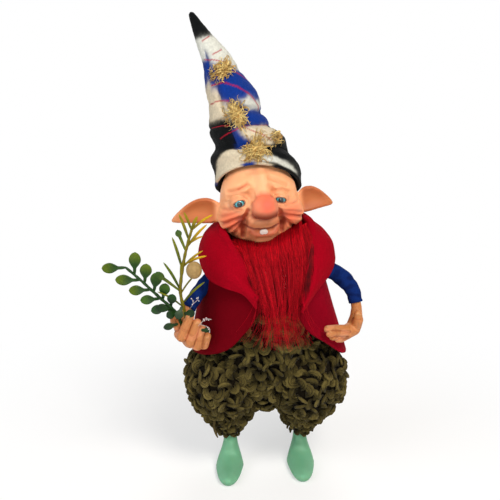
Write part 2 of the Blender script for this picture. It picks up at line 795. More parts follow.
@dataclass
class Head:
    """The clay head with its ears and neck, the lids round the eyes, the eyes and the teeth. Sizes in
    metres, except in mm: nostril_apart from the nose's middle, lid_reach from the opening, and tooth."""

    centre: tuple[float, float, float] = (-0.0055, 0.0, 0.2125)
    roll: float = math.radians(-5.5)
    turn: float = math.radians(6.0)
    half_width: float = 0.0285
    half_depth: float = 0.0285
    half_height: float = 0.034
    cheek_half_width: float = 0.0328
    cheek_drop: float = 0.0125
    cheek_span: float = 0.017
    nose: tuple[float, float, float] = (0.0008, -0.0335, 0.0026)
    nose_radii: tuple[float, float, float] = (0.0094, 0.0094, 0.0086)
    wing_radii: tuple[float, float, float] = (0.0036, 0.0044, 0.0034)
    bridge: tuple[float, float, float] = (0.0009, -0.0254, 0.0112)
    bridge_radii: tuple[float, float, float] = (0.0062, 0.0056, 0.0125)
    bridge_lean: float = math.radians(30)
    ear_height: float = 0.0215
    ear_thickness: float = 0.0042
    eye_radius: float = 0.0053
    eye_depth: float = 0.0186
    neck_radius: float = 0.0095
    nostril_apart: float = 3.6
    lid_reach: float = 4.6
    lid_tuck: float = 0.12
    tooth: tuple[float, float, float] = (2.9, 1.2, 1.9)
    voxel: float = 0.00052

    EYES = {Side.RIGHT: (-0.0161, 0.0049), Side.LEFT: (0.0135, 0.0045)}
    # Half width, upper and lower half height and tilt in degrees of each eye opening, in mm
    OPENINGS = {Side.RIGHT: (4.2, 2.7, 2.3, 14.0), Side.LEFT: (3.8, 2.0, 1.9, -15.0)}
    EAR_LENGTHS = {Side.RIGHT: 0.041, Side.LEFT: 0.031}

    def frame(self) -> Matrix:
        """Where the skull sits on the figure."""
        tilt = Euler((0, self.roll, self.turn), "XYZ").to_matrix().to_4x4()
        return Matrix.Translation(Vector(self.centre)) @ tilt

    def skull(self) -> bmesh.types.BMesh:
        """The skull with its cheeks, brows and chin, about its own middle."""
        bm = bmesh.new()
        bmesh.ops.create_icosphere(bm, subdivisions=6, radius=1)
        rays = unit(spots_of(bm))
        z = rays[:, 2] * self.half_height
        cheek = bump(z + self.cheek_drop, self.cheek_span)
        wide = self.half_width + (self.cheek_half_width - self.half_width) * cheek
        places = np.stack([rays[:, 0] * wide, rays[:, 1] * self.half_depth, z], axis=1)
        facing = np.clip(-rays[:, 1] * 3, 0, 1)
        out = unit(places * (0.25, 1, 0.25))
        raised = relief(FORMS, places[:, 0] / MM, places[:, 2] / MM) * MM * facing
        move(bm, places + out * raised[:, None])
        return bm

    def ear(self, side: Side) -> bmesh.types.BMesh:
        """A pointed ear, hollow in front with a rolled rim."""
        length = self.EAR_LENGTHS[side]
        bm = ball((0, 0, 0), (1, 1, 1), 72, 48)
        root = self.half_width - 0.004
        for vert in bm.verts:
            x, y, z = vert.co
            out = (x + 1) / 2
            edge = math.hypot(x, z)
            taper = 1 - 0.80 * max(0.0, out - 0.25) ** 1.25
            high = z * self.ear_height / 2 * taper
            deep = y * self.ear_thickness / 2
            if y < 0:
                hollow = max(0.0, 1 - (math.hypot((out - 0.44) * 1.15, z * 0.60) / 0.46) ** 2)
                deep += 0.0030 * hollow**1.3
                rim = math.exp(-(((edge - 0.86) / 0.10) ** 2))
                deep -= 0.0007 * rim * min(1.0, 3 * out)
            deep += length * 0.16 * out * out
            high += -0.0058 + 0.004 * math.sin(math.pi * out) - 0.003 * out * out
            vert.co = (side.value * (root + length * out), deep - 0.001, high)
        bmesh.ops.recalc_face_normals(bm, faces=bm.faces)
        if bm.calc_volume(signed=True) < 0:
            bmesh.ops.reverse_faces(bm, faces=bm.faces)
        return bm

    def lumps(self) -> list[bmesh.types.BMesh]:
        """What the head is blended from, about the skull's middle."""
        nose = ball(self.nose, self.nose_radii, 40, 28)
        wings = [
            ball(np.array(self.nose) + (side.value * 0.0070, 0.0038, -0.0048), self.wing_radii)
            for side in Side
        ]
        bridge = ball((0, 0, 0), self.bridge_radii, 32, 24)
        lean = Euler((-self.bridge_lean, 0, 0)).to_matrix().to_4x4()
        bridge.transform(Matrix.Translation(Vector(self.bridge)) @ lean)
        neck = bmesh.new()
        low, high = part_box("torso")[1].z + 0.0003, self.centre[2]
        radii = {"radius1": self.neck_radius, "radius2": self.neck_radius}
        bmesh.ops.create_cone(neck, cap_ends=True, segments=32, depth=high - low, **radii)
        bmesh.ops.translate(neck, vec=(self.centre[0] / 2, 0.002, (low + high) / 2), verts=neck.verts)
        neck.transform(self.frame().inverted())
        return [self.skull(), nose, bridge, *wings, self.ear(Side.RIGHT), self.ear(Side.LEFT), neck]

    def face_share(self, co: np.ndarray) -> np.ndarray:
        """How much of each place belongs to the face and not to the nose, an ear or the back."""
        nose = np.linalg.norm((co - self.nose) / self.nose_radii, axis=1)
        clear = step(nose, 1.02, 1.22)
        return clear * step(-co[:, 1], 0.002, 0.009) * (np.abs(co[:, 0]) < 0.034)

    def sculpt(self, mesh: bpy.types.Mesh) -> None:
        """Presses the fine lines into the blended skin."""
        co, out = coordinates(mesh), normals(mesh)
        x, z = co[:, 0] / MM, co[:, 2] / MM
        lines = relief(CREASES + BROW_LINES + MOUTH, x, z)
        below = self.nose[2] - 0.0062
        under = step(-co[:, 2], -below - 0.001, -below + 0.001)
        under *= co[:, 1] < -0.027
        for side in Side:
            off = x - self.nose[0] / MM - side.value * self.nostril_apart
            hole = np.hypot(off, (co[:, 1] - self.nose[1] + 0.001) / MM)
            co += out * (-1.3 * MM * bump(hole, 2.0) * under)[:, None]
        co += out * (lines * MM * self.face_share(co))[:, None]
        set_coordinates(mesh, co)

    def opening(self, side: Side, turns: np.ndarray, grow: float) -> np.ndarray:
        """Points round the eye opening, in mm from the eye's middle.

        Args:
            side: Which eye.
            turns: Angles round the eye, 0 at +X and a quarter turn at the top.
            grow: How far outside the opening, in mm.

        Returns:
            X and Z of each point.
        """
        half, top, bottom, tilt = self.OPENINGS[side]
        high = np.where(np.sin(turns) > 0, top, bottom)
        pinch = np.abs(np.cos(turns)) ** 1.25 * np.sign(np.cos(turns))
        x = (half + grow) * pinch
        z = (high + grow) * np.sin(turns) * (1 - 0.25 * np.abs(np.cos(turns)))
        a = math.radians(tilt)
        return np.stack([x * math.cos(a) - z * math.sin(a), x * math.sin(a) + z * math.cos(a)], axis=-1)

    def from_eye(
        self, side: Side, x: np.ndarray, z: np.ndarray, grow: float
    ) -> tuple[np.ndarray, np.ndarray]:
        """How far places lie from the eye's middle, and how far its grown opening reaches there, in mm."""
        dx, dz = x - self.EYES[side][0] / MM, z - self.EYES[side][1] / MM
        turns = np.arctan2(dz, dx) - math.radians(self.OPENINGS[side][3])
        return np.hypot(dx, dz), np.linalg.norm(self.opening(side, turns, grow), axis=1)

    def lids(self, side: Side, skin: BVHTree) -> bpy.types.Mesh:
        """The lids: a ring of clay from the eye's opening out to the face."""
        bm, across, share = grid_form(96, 22)
        cx, cz = self.EYES[side]
        angle = across * -math.tau
        rim = self.opening(side, angle, 0.0)
        wide = self.opening(side, angle, self.lid_reach)
        spread = np.clip((share - self.lid_tuck) / (1 - self.lid_tuck), 0, 1)
        flat = rim + (wide - rim) * spread[:, None]
        x, z = cx + flat[:, 0] * MM, cz + flat[:, 1] * MM
        tuck = np.clip(share / self.lid_tuck, 0, 1)
        thick = (-0.35 + 1.15 * np.sin(tuck * math.pi / 2)) * MM
        thick += 0.15 * MM * bump(spread - 0.10, 0.12)
        radius = self.eye_radius + thick
        off = np.hypot(x - cx, z - cz)
        domed = -self.eye_depth - np.sqrt(np.clip(radius**2 - off**2, 0, None))
        face = np.array([front_of(skin, px, pz, dome) for px, pz, dome in zip(x, z, domed)])
        blended = -smooth_max(-domed, -face, 0.9 * MM)
        y = np.where(off < radius, blended, face)
        y = np.where(share < self.lid_tuck + 0.02, domed, y)
        fold = bump(spread - 0.50, 0.16) * np.where(np.sin(angle) > 0, 0.55, 0.40)
        sink = -0.04 + 0.20 * np.clip((share - 0.90) / 0.10, 0, None)
        move(bm, np.stack([x, y + (fold + sink) * MM, z], axis=1))
        bmesh.ops.remove_doubles(bm, verts=bm.verts, dist=0.00001)
        smoothed(bm, [v for v in bm.verts if not v.is_boundary], 0.4, 2)
        bmesh.ops.recalc_face_normals(bm, faces=bm.faces)
        if sum(f.normal.y * f.calc_area() for f in bm.faces) > 0:
            bmesh.ops.reverse_faces(bm, faces=bm.faces)
        return as_mesh("lids", bm)

    def sink_sockets(self, mesh: bpy.types.Mesh) -> None:
        """Pushes the skin back behind each eye, under its lids."""
        co = coordinates(mesh)
        for side in Side:
            off, edge = self.from_eye(side, co[:, 0] / MM, co[:, 2] / MM, self.lid_reach - 0.4)
            share = 1 - step(off / edge, 0.60, 0.86)
            back = -self.eye_depth + 0.001
            front = (co[:, 1] < -0.010) & (off < 12)
            co[:, 1] = np.where(front & (co[:, 1] < back), co[:, 1] + (back - co[:, 1]) * share, co[:, 1])
        set_coordinates(mesh, co)

    def colours(self, co: np.ndarray) -> np.ndarray:
        """The pastel on the cured clay: blush on cheeks, nose and ears, and depth in the lines."""
        x, y, z = co[:, 0] / MM, co[:, 1] / MM, co[:, 2] / MM
        made = plain("#F2AC7B", len(co))
        front = step(-y, 4, 14)
        ear = step(np.abs(x + 0.5), 30, 35)
        inner = step(-y - 1.5 + np.abs(x) * 0.02, -5.0, 1.0)
        cheeks = [bump(np.hypot((x - cx) * 0.85, z + 8.5), 15) for cx in (-21, 19)]
        made = layered(
            made,
            ("#C4683C", 0.60 * step(-z, 7, 26)),
            *(("#E86B48", 0.9 * front * cheek) for cheek in cheeks),
            ("#C0713A", 0.9 * ear),
            ("#A65024", 0.70 * ear * inner),
            ("#E9A070", 0.6 * ear * step(np.abs(x), 52, 66)),
        )
        lines = -relief(CREASES, x, z) / 2.8
        corners = [bump(np.hypot(x - cx, (z + 9) * 0.6), 5.5) for cx in (-15.5, 13.2)]
        nx, ny, nz = (co - self.nose).T / MM
        away = np.linalg.norm([nx / 9.9, ny / 9.9, nz / 9.1], axis=0)
        on_nose = step(-away, -1.42, -0.96) * step(-y, 24, 31)
        red, lower, upper, gap = (stroke.at(x, z) for stroke in PAINTED)
        made = layered(
            made,
            ("#962F12", 0.85 * front * step(lines, 0.12, 1.0)),
            ("#CC6A3E", 0.28 * front * -relief(BROW_LINES, x, z)),
            *(("#6E1A08", 0.88 * front * corner) for corner in corners),
            ("#C4502E", 0.55 * front * red),
            ("#E37250", 0.75 * on_nose),
            ("#EA543E", 0.85 * on_nose * bump(np.hypot(nx - 1, nz - 3.5), 8.5)),
            ("#74260F", 0.90 * on_nose * step(-nz, -1.0, 6.0)),
            ("#A83C22", 0.75 * front * lower),
            ("#A85C30", 0.65 * front * upper),
            ("#7A2014", 0.95 * front * gap),
        )
        for side in Side:
            off, edge = self.from_eye(side, x, z, 0)
            lid = ("#C97F56", 0.45 * front * bump(off - edge - 1.4, 2.6))
            rim = ("#5E2F22", 0.85 * front * step(edge - off, -0.75, 0.05))
            made = layered(made, lid, rim)
        return made

    def eye(self, side: Side) -> bpy.types.Mesh:
        """A glass eye: white, an iris with a dark edge and fine rays, a pupil and a clear bulge."""
        bm = ball((0, 0, 0), (1, 1, 1), 48, 64)
        co = spots_of(bm)
        away = np.degrees(np.arccos(np.clip(co[:, 2], -1, 1)))
        swell = 1 + 0.07 * bump(away, 46)
        turn = np.arctan2(co[:, 1], co[:, 0])
        move(bm, co * (self.eye_radius * swell)[:, None])
        mesh = as_mesh(f"eye_{side.word}", bm)
        rays = 0.5 + 0.5 * np.sin(23 * turn + 3 * np.sin(5 * turn))
        paint = layered(
            plain("#E9E4DC", len(co)),
            ("#0C2630", 1.0 * (away < 45)),
            ("#3FA6B6", (0.75 + 0.25 * rays) * (1 - step(away, 32, 41))),
            ("#86CCD0", 0.5 * rays * bump(away - 26, 8)),
            ("#050608", 1.0 - step(away, 19, 22)),
        )
        add_attribute(mesh, "paint", paint)
        gaze = Euler((math.radians(93), 0, 0)).to_matrix().to_4x4()
        cx, cz = self.EYES[side]
        mesh.transform(self.frame() @ Matrix.Translation((cx, -self.eye_depth, cz)) @ gaze)
        return mesh

    def teeth(self, skin: BVHTree) -> bpy.types.Mesh:
        """Two small front teeth, one bead of white clay with a groove."""
        bm = ball((0, 0, 0), (1, 1, 1), 36, 24)
        middle = np.array((-1.1, 0.2, -16.3))
        middle[1] += front_of(skin, -1.1 * MM, -17.2 * MM, -0.03) / MM
        x, y, z = spots_of(bm).T
        cleft = np.exp(-((x / 0.16) ** 2)) * np.where(z < 0, 0.30, 0.12)
        square = 1 / np.maximum(np.abs(x) ** 2.4 + np.abs(z) ** 2.4, 0.35) ** (1 / 2.4)
        square = np.where(np.abs(y) < 0.98, square, 1.0)
        form = np.stack([x * square, y * (1 - cleft), z * square * (1 - cleft * 0.7)], axis=1)
        move(bm, (form * self.tooth + middle) * MM)
        mesh = as_mesh("teeth", bm)
        add_attribute(mesh, "paint", plain("#C8B8AE", len(mesh.vertices)))
        mesh.transform(self.frame())
        return mesh

    def build(self) -> BVHTree:
        """Models the head and everything in it, and returns the skin's surface."""
        mesh = skinned("head", self.lumps(), self.voxel, 8)
        self.sculpt(mesh)
        skin = surface_of(mesh)
        lids = [self.lids(side, skin) for side in Side]
        teeth = self.teeth(skin)
        self.sink_sockets(mesh)
        whole = joined("head", [mesh, *lids])
        add_attribute(whole, "paint", self.colours(coordinates(whole)))
        whole.transform(self.frame())
        surface = surface_of(whole)
        place("head", whole, SKIN, "skin", ["head"])
        for side in Side:
            place(f"eye_{side.word}", self.eye(side), EYE_GLASS, "eye_glass", [f"eye_{side.word}"])
        place("teeth", teeth, TOOTH_CLAY, "tooth", ["teeth"])
        return surface


# Hat


@dataclass(frozen=True)
class Field:
    """One field of the plaid: its outline on the cloth as turn from the front and t from the brim."""

    code: str
    outline: Points

    def distance(self, turn: np.ndarray, up: np.ndarray, wide: np.ndarray, tall: float) -> np.ndarray:
        """Distance in mm from each place to the outline, below 0 inside it.

        Args:
            turn: Degrees from the front.
            up: Height on the cloth in mm.
            wide: Millimetres to a degree at each place.
            tall: The hat's height in mm.

        Returns:
            The distances.
        """
        line = [(u, v * tall) for u, v in self.outline]
        line.append(line[0])
        inside = np.zeros(len(turn), bool)
        for (ax, ay), (bx, by) in zip(line, line[1:]):
            level = by - ay if by != ay else 1e-9
            crossed = ((ay > up) != (by > up)) & (turn < (bx - ax) * (up - ay) / level + ax)
            inside ^= crossed
        return line_distance(turn, up, line, wide) * np.where(inside, -1, 1)


@dataclass
class Hat:
    """The fleece cone with its folds and its printed plaid. Sizes in metres, its sheet lies on the head."""

    side_shift: float = -0.0055
    base: float = 0.2125
    droop: float = 0.0030
    swirl: float = 0.085
    tall: float = 140.0
    cloth: float = 0.0022
    bleed: float = 1.3
    tip_from: float = 0.984
    segments: int = 150
    rows: int = 165

    RINGS = (
        (-0.0005, 0.0056, 0.0128, 0.0318, 0.0326, 35, 0),
        (-0.0035, 0.0062, 0.0270, 0.0302, 0.0276, 26, 2),
        (-0.0080, 0.0040, 0.0410, 0.0252, 0.0238, 15, 6),
        (-0.0150, 0.0045, 0.0560, 0.0205, 0.0202, 9, 10),
        (-0.0212, 0.0055, 0.0770, 0.0165, 0.0162, 5, 13),
        (-0.0295, 0.0070, 0.0990, 0.0108, 0.0108, 3, 22),
        (-0.0395, 0.0090, 0.1160, 0.0062, 0.0062, 2, 33),
        (-0.0480, 0.0110, 0.1325, 0.0021, 0.0021, 2, 30),
    )
    # Folds as lines on the cloth, each with its width and height in mm
    FOLDS = (
        ((
            (-27, 0.785), (-35, 0.70), (-21, 0.625), (-25, 0.555), (-19, 0.47), (-17, 0.355),
            (-23, 0.195),
        ), 3.2, -2.0),
        (((-14, 0.77), (-20, 0.70), (-6, 0.62), (-8, 0.55), (-2, 0.47), (0, 0.36), (-6, 0.21)), 6.0, 1.5),
        (((7, 0.675), (30, 0.668), (60, 0.66), (100, 0.65)), 3.6, -1.8),
        (((8, 0.50), (35, 0.485), (60, 0.47), (105, 0.455)), 4.0, -2.4),
        (((-5, 0.415), (20, 0.40), (50, 0.387), (95, 0.375)), 3.6, -1.8),
        (((17, 0.25), (40, 0.225), (80, 0.215)), 4.0, -1.8),
        (((-23, 0.565), (-50, 0.56), (-85, 0.55)), 3.2, -1.0),
        (((-17, 0.43), (-50, 0.43), (-95, 0.42)), 3.2, -0.9),
        (((130, 0.62), (170, 0.55), (210, 0.56)), 4.5, -1.6),
        (((120, 0.42), (175, 0.36), (230, 0.39)), 5.0, -1.8),
        (((100, 0.25), (160, 0.20), (220, 0.24)), 5.0, -1.3),
        (((-6, 0.12), (30, 0.115), (70, 0.10)), 5.0, -0.8),
        (((35, 0.57), (90, 0.56)), 11.0, 1.8),
        (((30, 0.435), (85, 0.42)), 6.0, 1.2),
        (((30, 0.33), (85, 0.31)), 8.0, 1.4),
        (((45, 0.13), (90, 0.12)), 12.0, 1.2),
    )
    WHITE, CREAM, BLUE, BLACK = "#CBCCC2", "#CDC0A6", "#103180", "#0E1011"
    PLAID = (
        Field(BLACK, (
            (-121, 0.88), (-83, 0.875), (1, 0.86), (63, 0.845), (241, 0.87), (241, 1.1), (-121, 1.1),
        )),
        Field(WHITE, (
            (-121, 0.88), (-83, 0.875), (1, 0.86), (63, 0.845), (241, 0.87), (241, 0.74), (93, 0.695),
            (59, 0.675), (12, 0.70), (-21, 0.725), (-22, 0.79), (-32, 0.75), (-49, 0.75), (-121, 0.76),
        )),
        Field(BLUE, (
            (-22, 0.79), (-13, 0.745), (-27, 0.695), (-30, 0.64), (-61, 0.70), (-67, 0.62), (-100, 0.74),
            (-49, 0.75),
        )),
        Field(BLUE, (
            (-27, 0.695), (47, 0.665), (73, 0.635), (91, 0.575), (91, 0.525), (67, 0.515), (45, 0.545),
            (21, 0.535), (-5, 0.545), (-23, 0.565), (-27, 0.64),
        )),
        Field(WHITE, ((20, 0.535), (45, 0.545), (67, 0.515), (95, 0.52), (75, 0.48), (41, 0.49))),
        Field(CREAM, (
            (-51, 0.635), (-30, 0.60), (-23, 0.56), (-11, 0.495), (-17, 0.465), (-39, 0.465), (-62, 0.46),
            (-100, 0.50), (-100, 0.60),
        )),
        Field(BLUE, ((-50, 0.61), (-38, 0.61), (-40, 0.585), (-54, 0.585))),
        Field(BLUE, (
            (21, 0.52), (41, 0.49), (70, 0.48), (100, 0.50), (100, 0.41), (49, 0.395), (3, 0.395),
            (9, 0.455),
        )),
        Field(BLACK, (
            (-62, 0.46), (-39, 0.465), (-17, 0.465), (-13, 0.39), (-22, 0.27), (-25, 0.235), (-49, 0.17),
            (-66, 0.10), (-84, 0.03), (-92, -0.1), (-121, -0.1), (-121, 0.40), (-85, 0.44),
        )),
        Field(CREAM, (
            (1, 0.385), (51, 0.39), (75, 0.37), (59, 0.325), (47, 0.265), (29, 0.225), (14, 0.27),
            (-3, 0.345),
        )),
        Field(BLUE, ((-13, 0.385), (-3, 0.36), (3, 0.275), (-5, 0.20), (-19, 0.19), (-23, 0.27))),
        Field(BLACK, (
            (23, 0.205), (29, 0.225), (47, 0.265), (59, 0.325), (75, 0.37), (100, 0.40), (125, 0.25),
            (125, 0.08), (70, 0.07), (49, 0.085), (35, 0.085), (21, 0.12),
        )),
        Field(WHITE, (
            (8, 0.115), (21, 0.110), (48, 0.066), (60, 0.032), (46, 0.030), (25, 0.055), (8, 0.06),
        )),
        Field(BLACK, (
            (12, 0.045), (25, 0.050), (46, 0.028), (62, 0.032), (75, 0.07), (125, 0.08), (125, -0.1),
            (14, -0.1),
        )),
        Field(CREAM, (
            (-84, 0.03), (-66, 0.10), (-37, 0.200), (-23, 0.195), (-5, 0.20), (8, 0.12), (-12, 0.06),
            (-22, 0.03), (-20, -0.1), (-74, -0.1),
        )),
        Field(BLUE, ((-21, 0.035), (-5, 0.035), (-3, -0.1), (-22, -0.1))),
        Field(BLUE, ((-92, 0.015), (-76, 0.02), (-74, -0.1), (-96, -0.1))),
        Field(CREAM, ((-3, 0.03), (23, 0.03), (20, -0.1), (-3, -0.1))),
        Field(WHITE, ((100, 0.70), (185, 0.69), (190, 0.60), (150, 0.57), (100, 0.60))),
        Field(BLUE, ((185, 0.72), (241, 0.74), (241, 0.52), (200, 0.50), (190, 0.60))),
        Field(BLACK, ((100, 0.58), (150, 0.56), (200, 0.50), (205, 0.43), (150, 0.42), (100, 0.43))),
        Field(CREAM, ((205, 0.50), (241, 0.52), (241, 0.41), (205, 0.42))),
        Field(BLUE, ((100, 0.40), (165, 0.41), (160, 0.28), (125, 0.25))),
        Field(CREAM, ((165, 0.41), (215, 0.42), (220, 0.28), (160, 0.27))),
        Field(BLACK, ((215, 0.41), (241, 0.41), (241, -0.1), (215, -0.1))),
        Field(CREAM, ((125, 0.25), (180, 0.26), (180, 0.14), (125, 0.12))),
        Field(BLUE, ((180, 0.26), (215, 0.27), (215, 0.10), (180, 0.10))),
        Field(BLUE, ((125, 0.12), (175, 0.13), (175, -0.1), (125, -0.1))),
        Field(BLACK, ((175, 0.11), (215, 0.10), (215, -0.1), (175, -0.1))),
    )
    RED_LINES = (
        ((-13, 0.84), (43, 0.845)),
        ((-1, 0.755), (49, 0.76)),
        ((-49, 0.75), (-13, 0.735), (31, 0.70)),
        ((43, 0.655), (63, 0.63), (85, 0.60)),
        ((-41, 0.625), (-3, 0.625), (25, 0.595), (47, 0.55), (61, 0.515), (75, 0.48)),
        ((-67, 0.54), (-31, 0.55), (-5, 0.545)),
        ((-67, 0.425), (-37, 0.425), (-15, 0.415)),
        ((-43, 0.345), (-15, 0.38), (3, 0.39), (27, 0.40), (51, 0.395), (80, 0.39)),
        ((7, 0.39), (21, 0.35), (41, 0.285)),
        ((120, 0.66), (150, 0.50), (160, 0.30)),
        ((110, 0.52), (170, 0.54), (230, 0.52)),
        ((105, 0.28), (170, 0.27), (240, 0.30)),
    )

    def around(self, turn: np.ndarray) -> np.ndarray:
        """Degrees from the front, as the lines and fields on the cloth give them."""
        return (turn + 120) % 360 - 120

    def from_line(self, line: Points, turn: np.ndarray, t: np.ndarray, wide: np.ndarray) -> np.ndarray:
        """Distance in mm from places on the cloth to a line on it, with wide mm to a degree."""
        placed = [(u, v * self.tall) for u, v in line]
        return line_distance(self.around(turn), t * self.tall, placed, wide)

    def surface(self, turn: np.ndarray, t: np.ndarray, inset: float = 0.0) -> np.ndarray:
        """Places on the hat.

        Args:
            turn: Degrees from the front, towards the figure's left.
            t: 0 at the brim and 1 at the tip.
            inset: How far inside the cloth, in metres.

        Returns:
            One row a place, about the figure's midline.
        """
        rows = curve_through(self.RINGS, t)
        x, y, z, wide, deep, back, lean = rows.T
        a = np.radians(turn) - math.pi / 2
        size = 1 + self.swirl * np.sin(a + 4.2 * math.tau * t) * np.minimum(1, 5 * t) * (1 - t)
        raised = np.zeros_like(t)
        for line, width, height in self.FOLDS:
            raised += height * bump(self.from_line(line, turn, t, math.radians(1) * wide / MM), width)
        raised *= np.clip(wide / 0.020, 0, 1) * MM
        drop = self.droop * np.cos(a) ** 2 * np.clip(1 - 5 * t, 0, None)
        past = np.clip(t - self.tip_from, 0, None) / (1 - self.tip_from)
        closing = np.sqrt(np.clip(1 - past**2, 0.0004, 1))
        flat_x = (wide * size + raised - inset) * np.cos(a) * closing
        flat_y = (deep * size + raised - inset) * np.sin(a) * closing
        b, c = -np.radians(back), -np.radians(lean)
        y1 = flat_y * np.cos(b) + drop * np.sin(b)
        z1 = flat_y * np.sin(b) - drop * np.cos(b)
        x2 = flat_x * np.cos(c) + z1 * np.sin(c)
        z2 = -flat_x * np.sin(c) + z1 * np.cos(c)
        return np.stack([x + self.side_shift + x2, y + y1, z + self.base + z2], axis=-1)

    def colours(self, turn: np.ndarray, t: np.ndarray, places: np.ndarray) -> np.ndarray:
        """The plaid: fields of colour that run into each other, as dye does, with fine red lines."""
        wide = np.maximum(curve_through(self.RINGS, t)[:, 3] / MM * math.radians(1), 0.03)
        stray = speckle(places, 4.5 * MM) * 1.3 + speckle(places, 1.3 * MM, 4) * 0.7
        drift = speckle(places, 4.0 * MM, 9) * 1.2 + speckle(places, 1.2 * MM, 14) * 0.7
        at, up = self.around(turn) + stray / wide, t * self.tall + drift
        far = [field.distance(at, up, wide, self.tall) for field in self.PLAID]
        nearness = -np.stack(far) / self.bleed
        weight = np.exp(nearness - nearness.max(axis=0))
        weight /= weight.sum(axis=0)
        made = sum(share[:, None] * linear(field.code) for share, field in zip(weight, self.PLAID))
        for line in self.RED_LINES:
            off = self.from_line(line, turn, t, wide)
            made = over(made, "#A3122A", 0.85 * (1 - step(off, 0.20, 0.62)))
        return made * (1 + 0.10 * speckle(places, 1.3 * MM, 20))[:, None]

    def build(self) -> None:
        """Models the hat as one sheet of fleece, sewn to a cone."""
        bm, across, along = grid_form(self.segments, self.rows)
        turn, t = across * 360, along**0.92
        places = self.surface(turn, t, self.cloth / 2)
        move(bm, places)
        mesh = as_mesh("hat", bm)
        rough = speckle(places, 3.0 * MM, 2) * 0.25 + speckle(places, 1.1 * MM, 6) * 0.12
        places = places + normals(mesh) * (rough * MM)[:, None]
        seam = np.isclose(turn, 360)
        places[seam] = places[np.isclose(turn, 0)]
        set_coordinates(mesh, places)
        add_attribute(mesh, "paint", self.colours(turn, t, places))
        bm = bmesh.new()
        bm.from_mesh(mesh)
        bpy.data.meshes.remove(mesh)
        bmesh.ops.remove_doubles(bm, verts=bm.verts, dist=0.00002)
        tip = [e for e in bm.edges if e.is_boundary and e.verts[0].co.z > self.base + 0.1]
        bmesh.ops.holes_fill(bm, edges=tip, sides=0)
        bmesh.ops.recalc_face_normals(bm, faces=bm.faces)
        area = sum(f.calc_area() for f in bm.faces)
        self.skin = BVHTree.FromBMesh(bm)
        hat = place("hat", as_mesh("hat", bm), FLEECE, "fleece", ["hat"], self.cloth)


# Raffia ties


@dataclass(frozen=True)
class Tie:
    """A knotted bundle of raffia: its place on the hat, its fans of fibre and how many fibres it has."""

    node: str
    turn: float
    t: float
    # Each fan's direction in degrees from the figure's left, its length in mm and its spread in degrees
    fans: Points
    fibres: int
    seed: int


@dataclass
class Ties:
    """The raffia ties down the front of the hat."""

    hat: Hat
    rings: int = 10

    EACH = (
        Tie("raffia_top", 7, 0.675, (
            (22, 12, 28), (60, 8, 25), (200, 11, 30), (165, 9, 25), (300, 7, 35), (235, 9, 20),
        ), 210, 3),
        Tie("raffia_middle", 4, 0.475, (
            (82, 15, 18), (55, 9, 20), (155, 10, 24), (195, 8, 20), (275, 14, 16), (255, 11, 18),
            (330, 9, 30),
        ), 250, 5),
        Tie("raffia_bottom", 3, 0.150, (
            (180, 12, 24), (205, 10, 22), (62, 15, 18), (30, 11, 26), (350, 11, 24), (265, 8, 35),
            (120, 8, 30),
        ), 270, 8),
        Tie("raffia_side", 52, 0.290, ((10, 8, 22), (50, 7, 20), (170, 6, 26)), 60, 13),
    )

    def bundle(self, tie: Tie) -> bpy.types.Mesh:
        """The fibres of one tie: each leaves the knot in one of the fans, arches and curls at its end."""
        random = np.random.default_rng(tie.seed)
        turns = tie.turn + np.array((0, 12, 0, -12))
        spot, left, above, right = self.hat.surface(turns, tie.t + np.array((0, 0, 0.05, 0)))
        side = unit(left - right)
        out = unit(np.cross(side, unit(above - spot)))
        up = np.cross(out, side)
        count = tie.fibres
        fans = np.array(tie.fans)[random.integers(0, len(tie.fans), count)]
        angle = np.radians(fans[:, 0] + random.normal(0, 0.55, count) * fans[:, 2])
        length = fans[:, 1] * random.uniform(0.40, 0.92, count)
        bend = random.normal(0, 0.5, (count, 1))
        curl = random.normal(0, 2.4, (count, 1))
        t = np.linspace(0, 1, self.rings)
        heading = angle[:, None] + bend * t + curl * step(t, 0.45, 1.1)
        stride = (length / (self.rings - 1))[:, None]
        across = np.cumsum(np.cos(heading) * stride, axis=1) + random.normal(0, 2.3, (count, 1))
        along = np.cumsum(np.sin(heading) * stride, axis=1) + random.normal(0, 2.1, (count, 1))
        arch = random.uniform(0.6, 3.4, (count, 1)) * np.sin(math.pi * np.clip(t * 0.85 + 0.10, 0, 1))
        height = 0.5 + 1.3 * random.random((count, 1)) + arch
        height = height + 0.4 * np.sin(t * 11 + 6 * random.random((count, 1)))
        world = spot + (across[..., None] * side + along[..., None] * up) * MM
        for strand, rises in zip(world, height):
            for point, rise in zip(strand, rises):
                hit = self.hat.skin.ray_cast(Vector(point + out * 0.02), Vector(-out))[0]
                point[:] = np.array(hit if hit else point) + out * rise * MM
        radii = random.uniform(0.22, 0.62, (count, 1)) * np.linspace(1.0, 0.35, self.rings) * MM
        base = over(linear("#AE7E38"), "#EED488", random.random((count, 1)))
        shade = (0.55 + 0.45 * np.clip(height / 3.8, 0, 1))[..., None]
        hints = unit(out + random.normal(0, 0.35, (count, 3)))
        return strands(tie.node, world, radii, base * shade, hints, 4, 0.28)

    def build(self) -> None:
        """Models each tie."""
        for tie in self.EACH:
            place(tie.node, self.bundle(tie), RAFFIA, "raffia", [tie.node])


# Vest


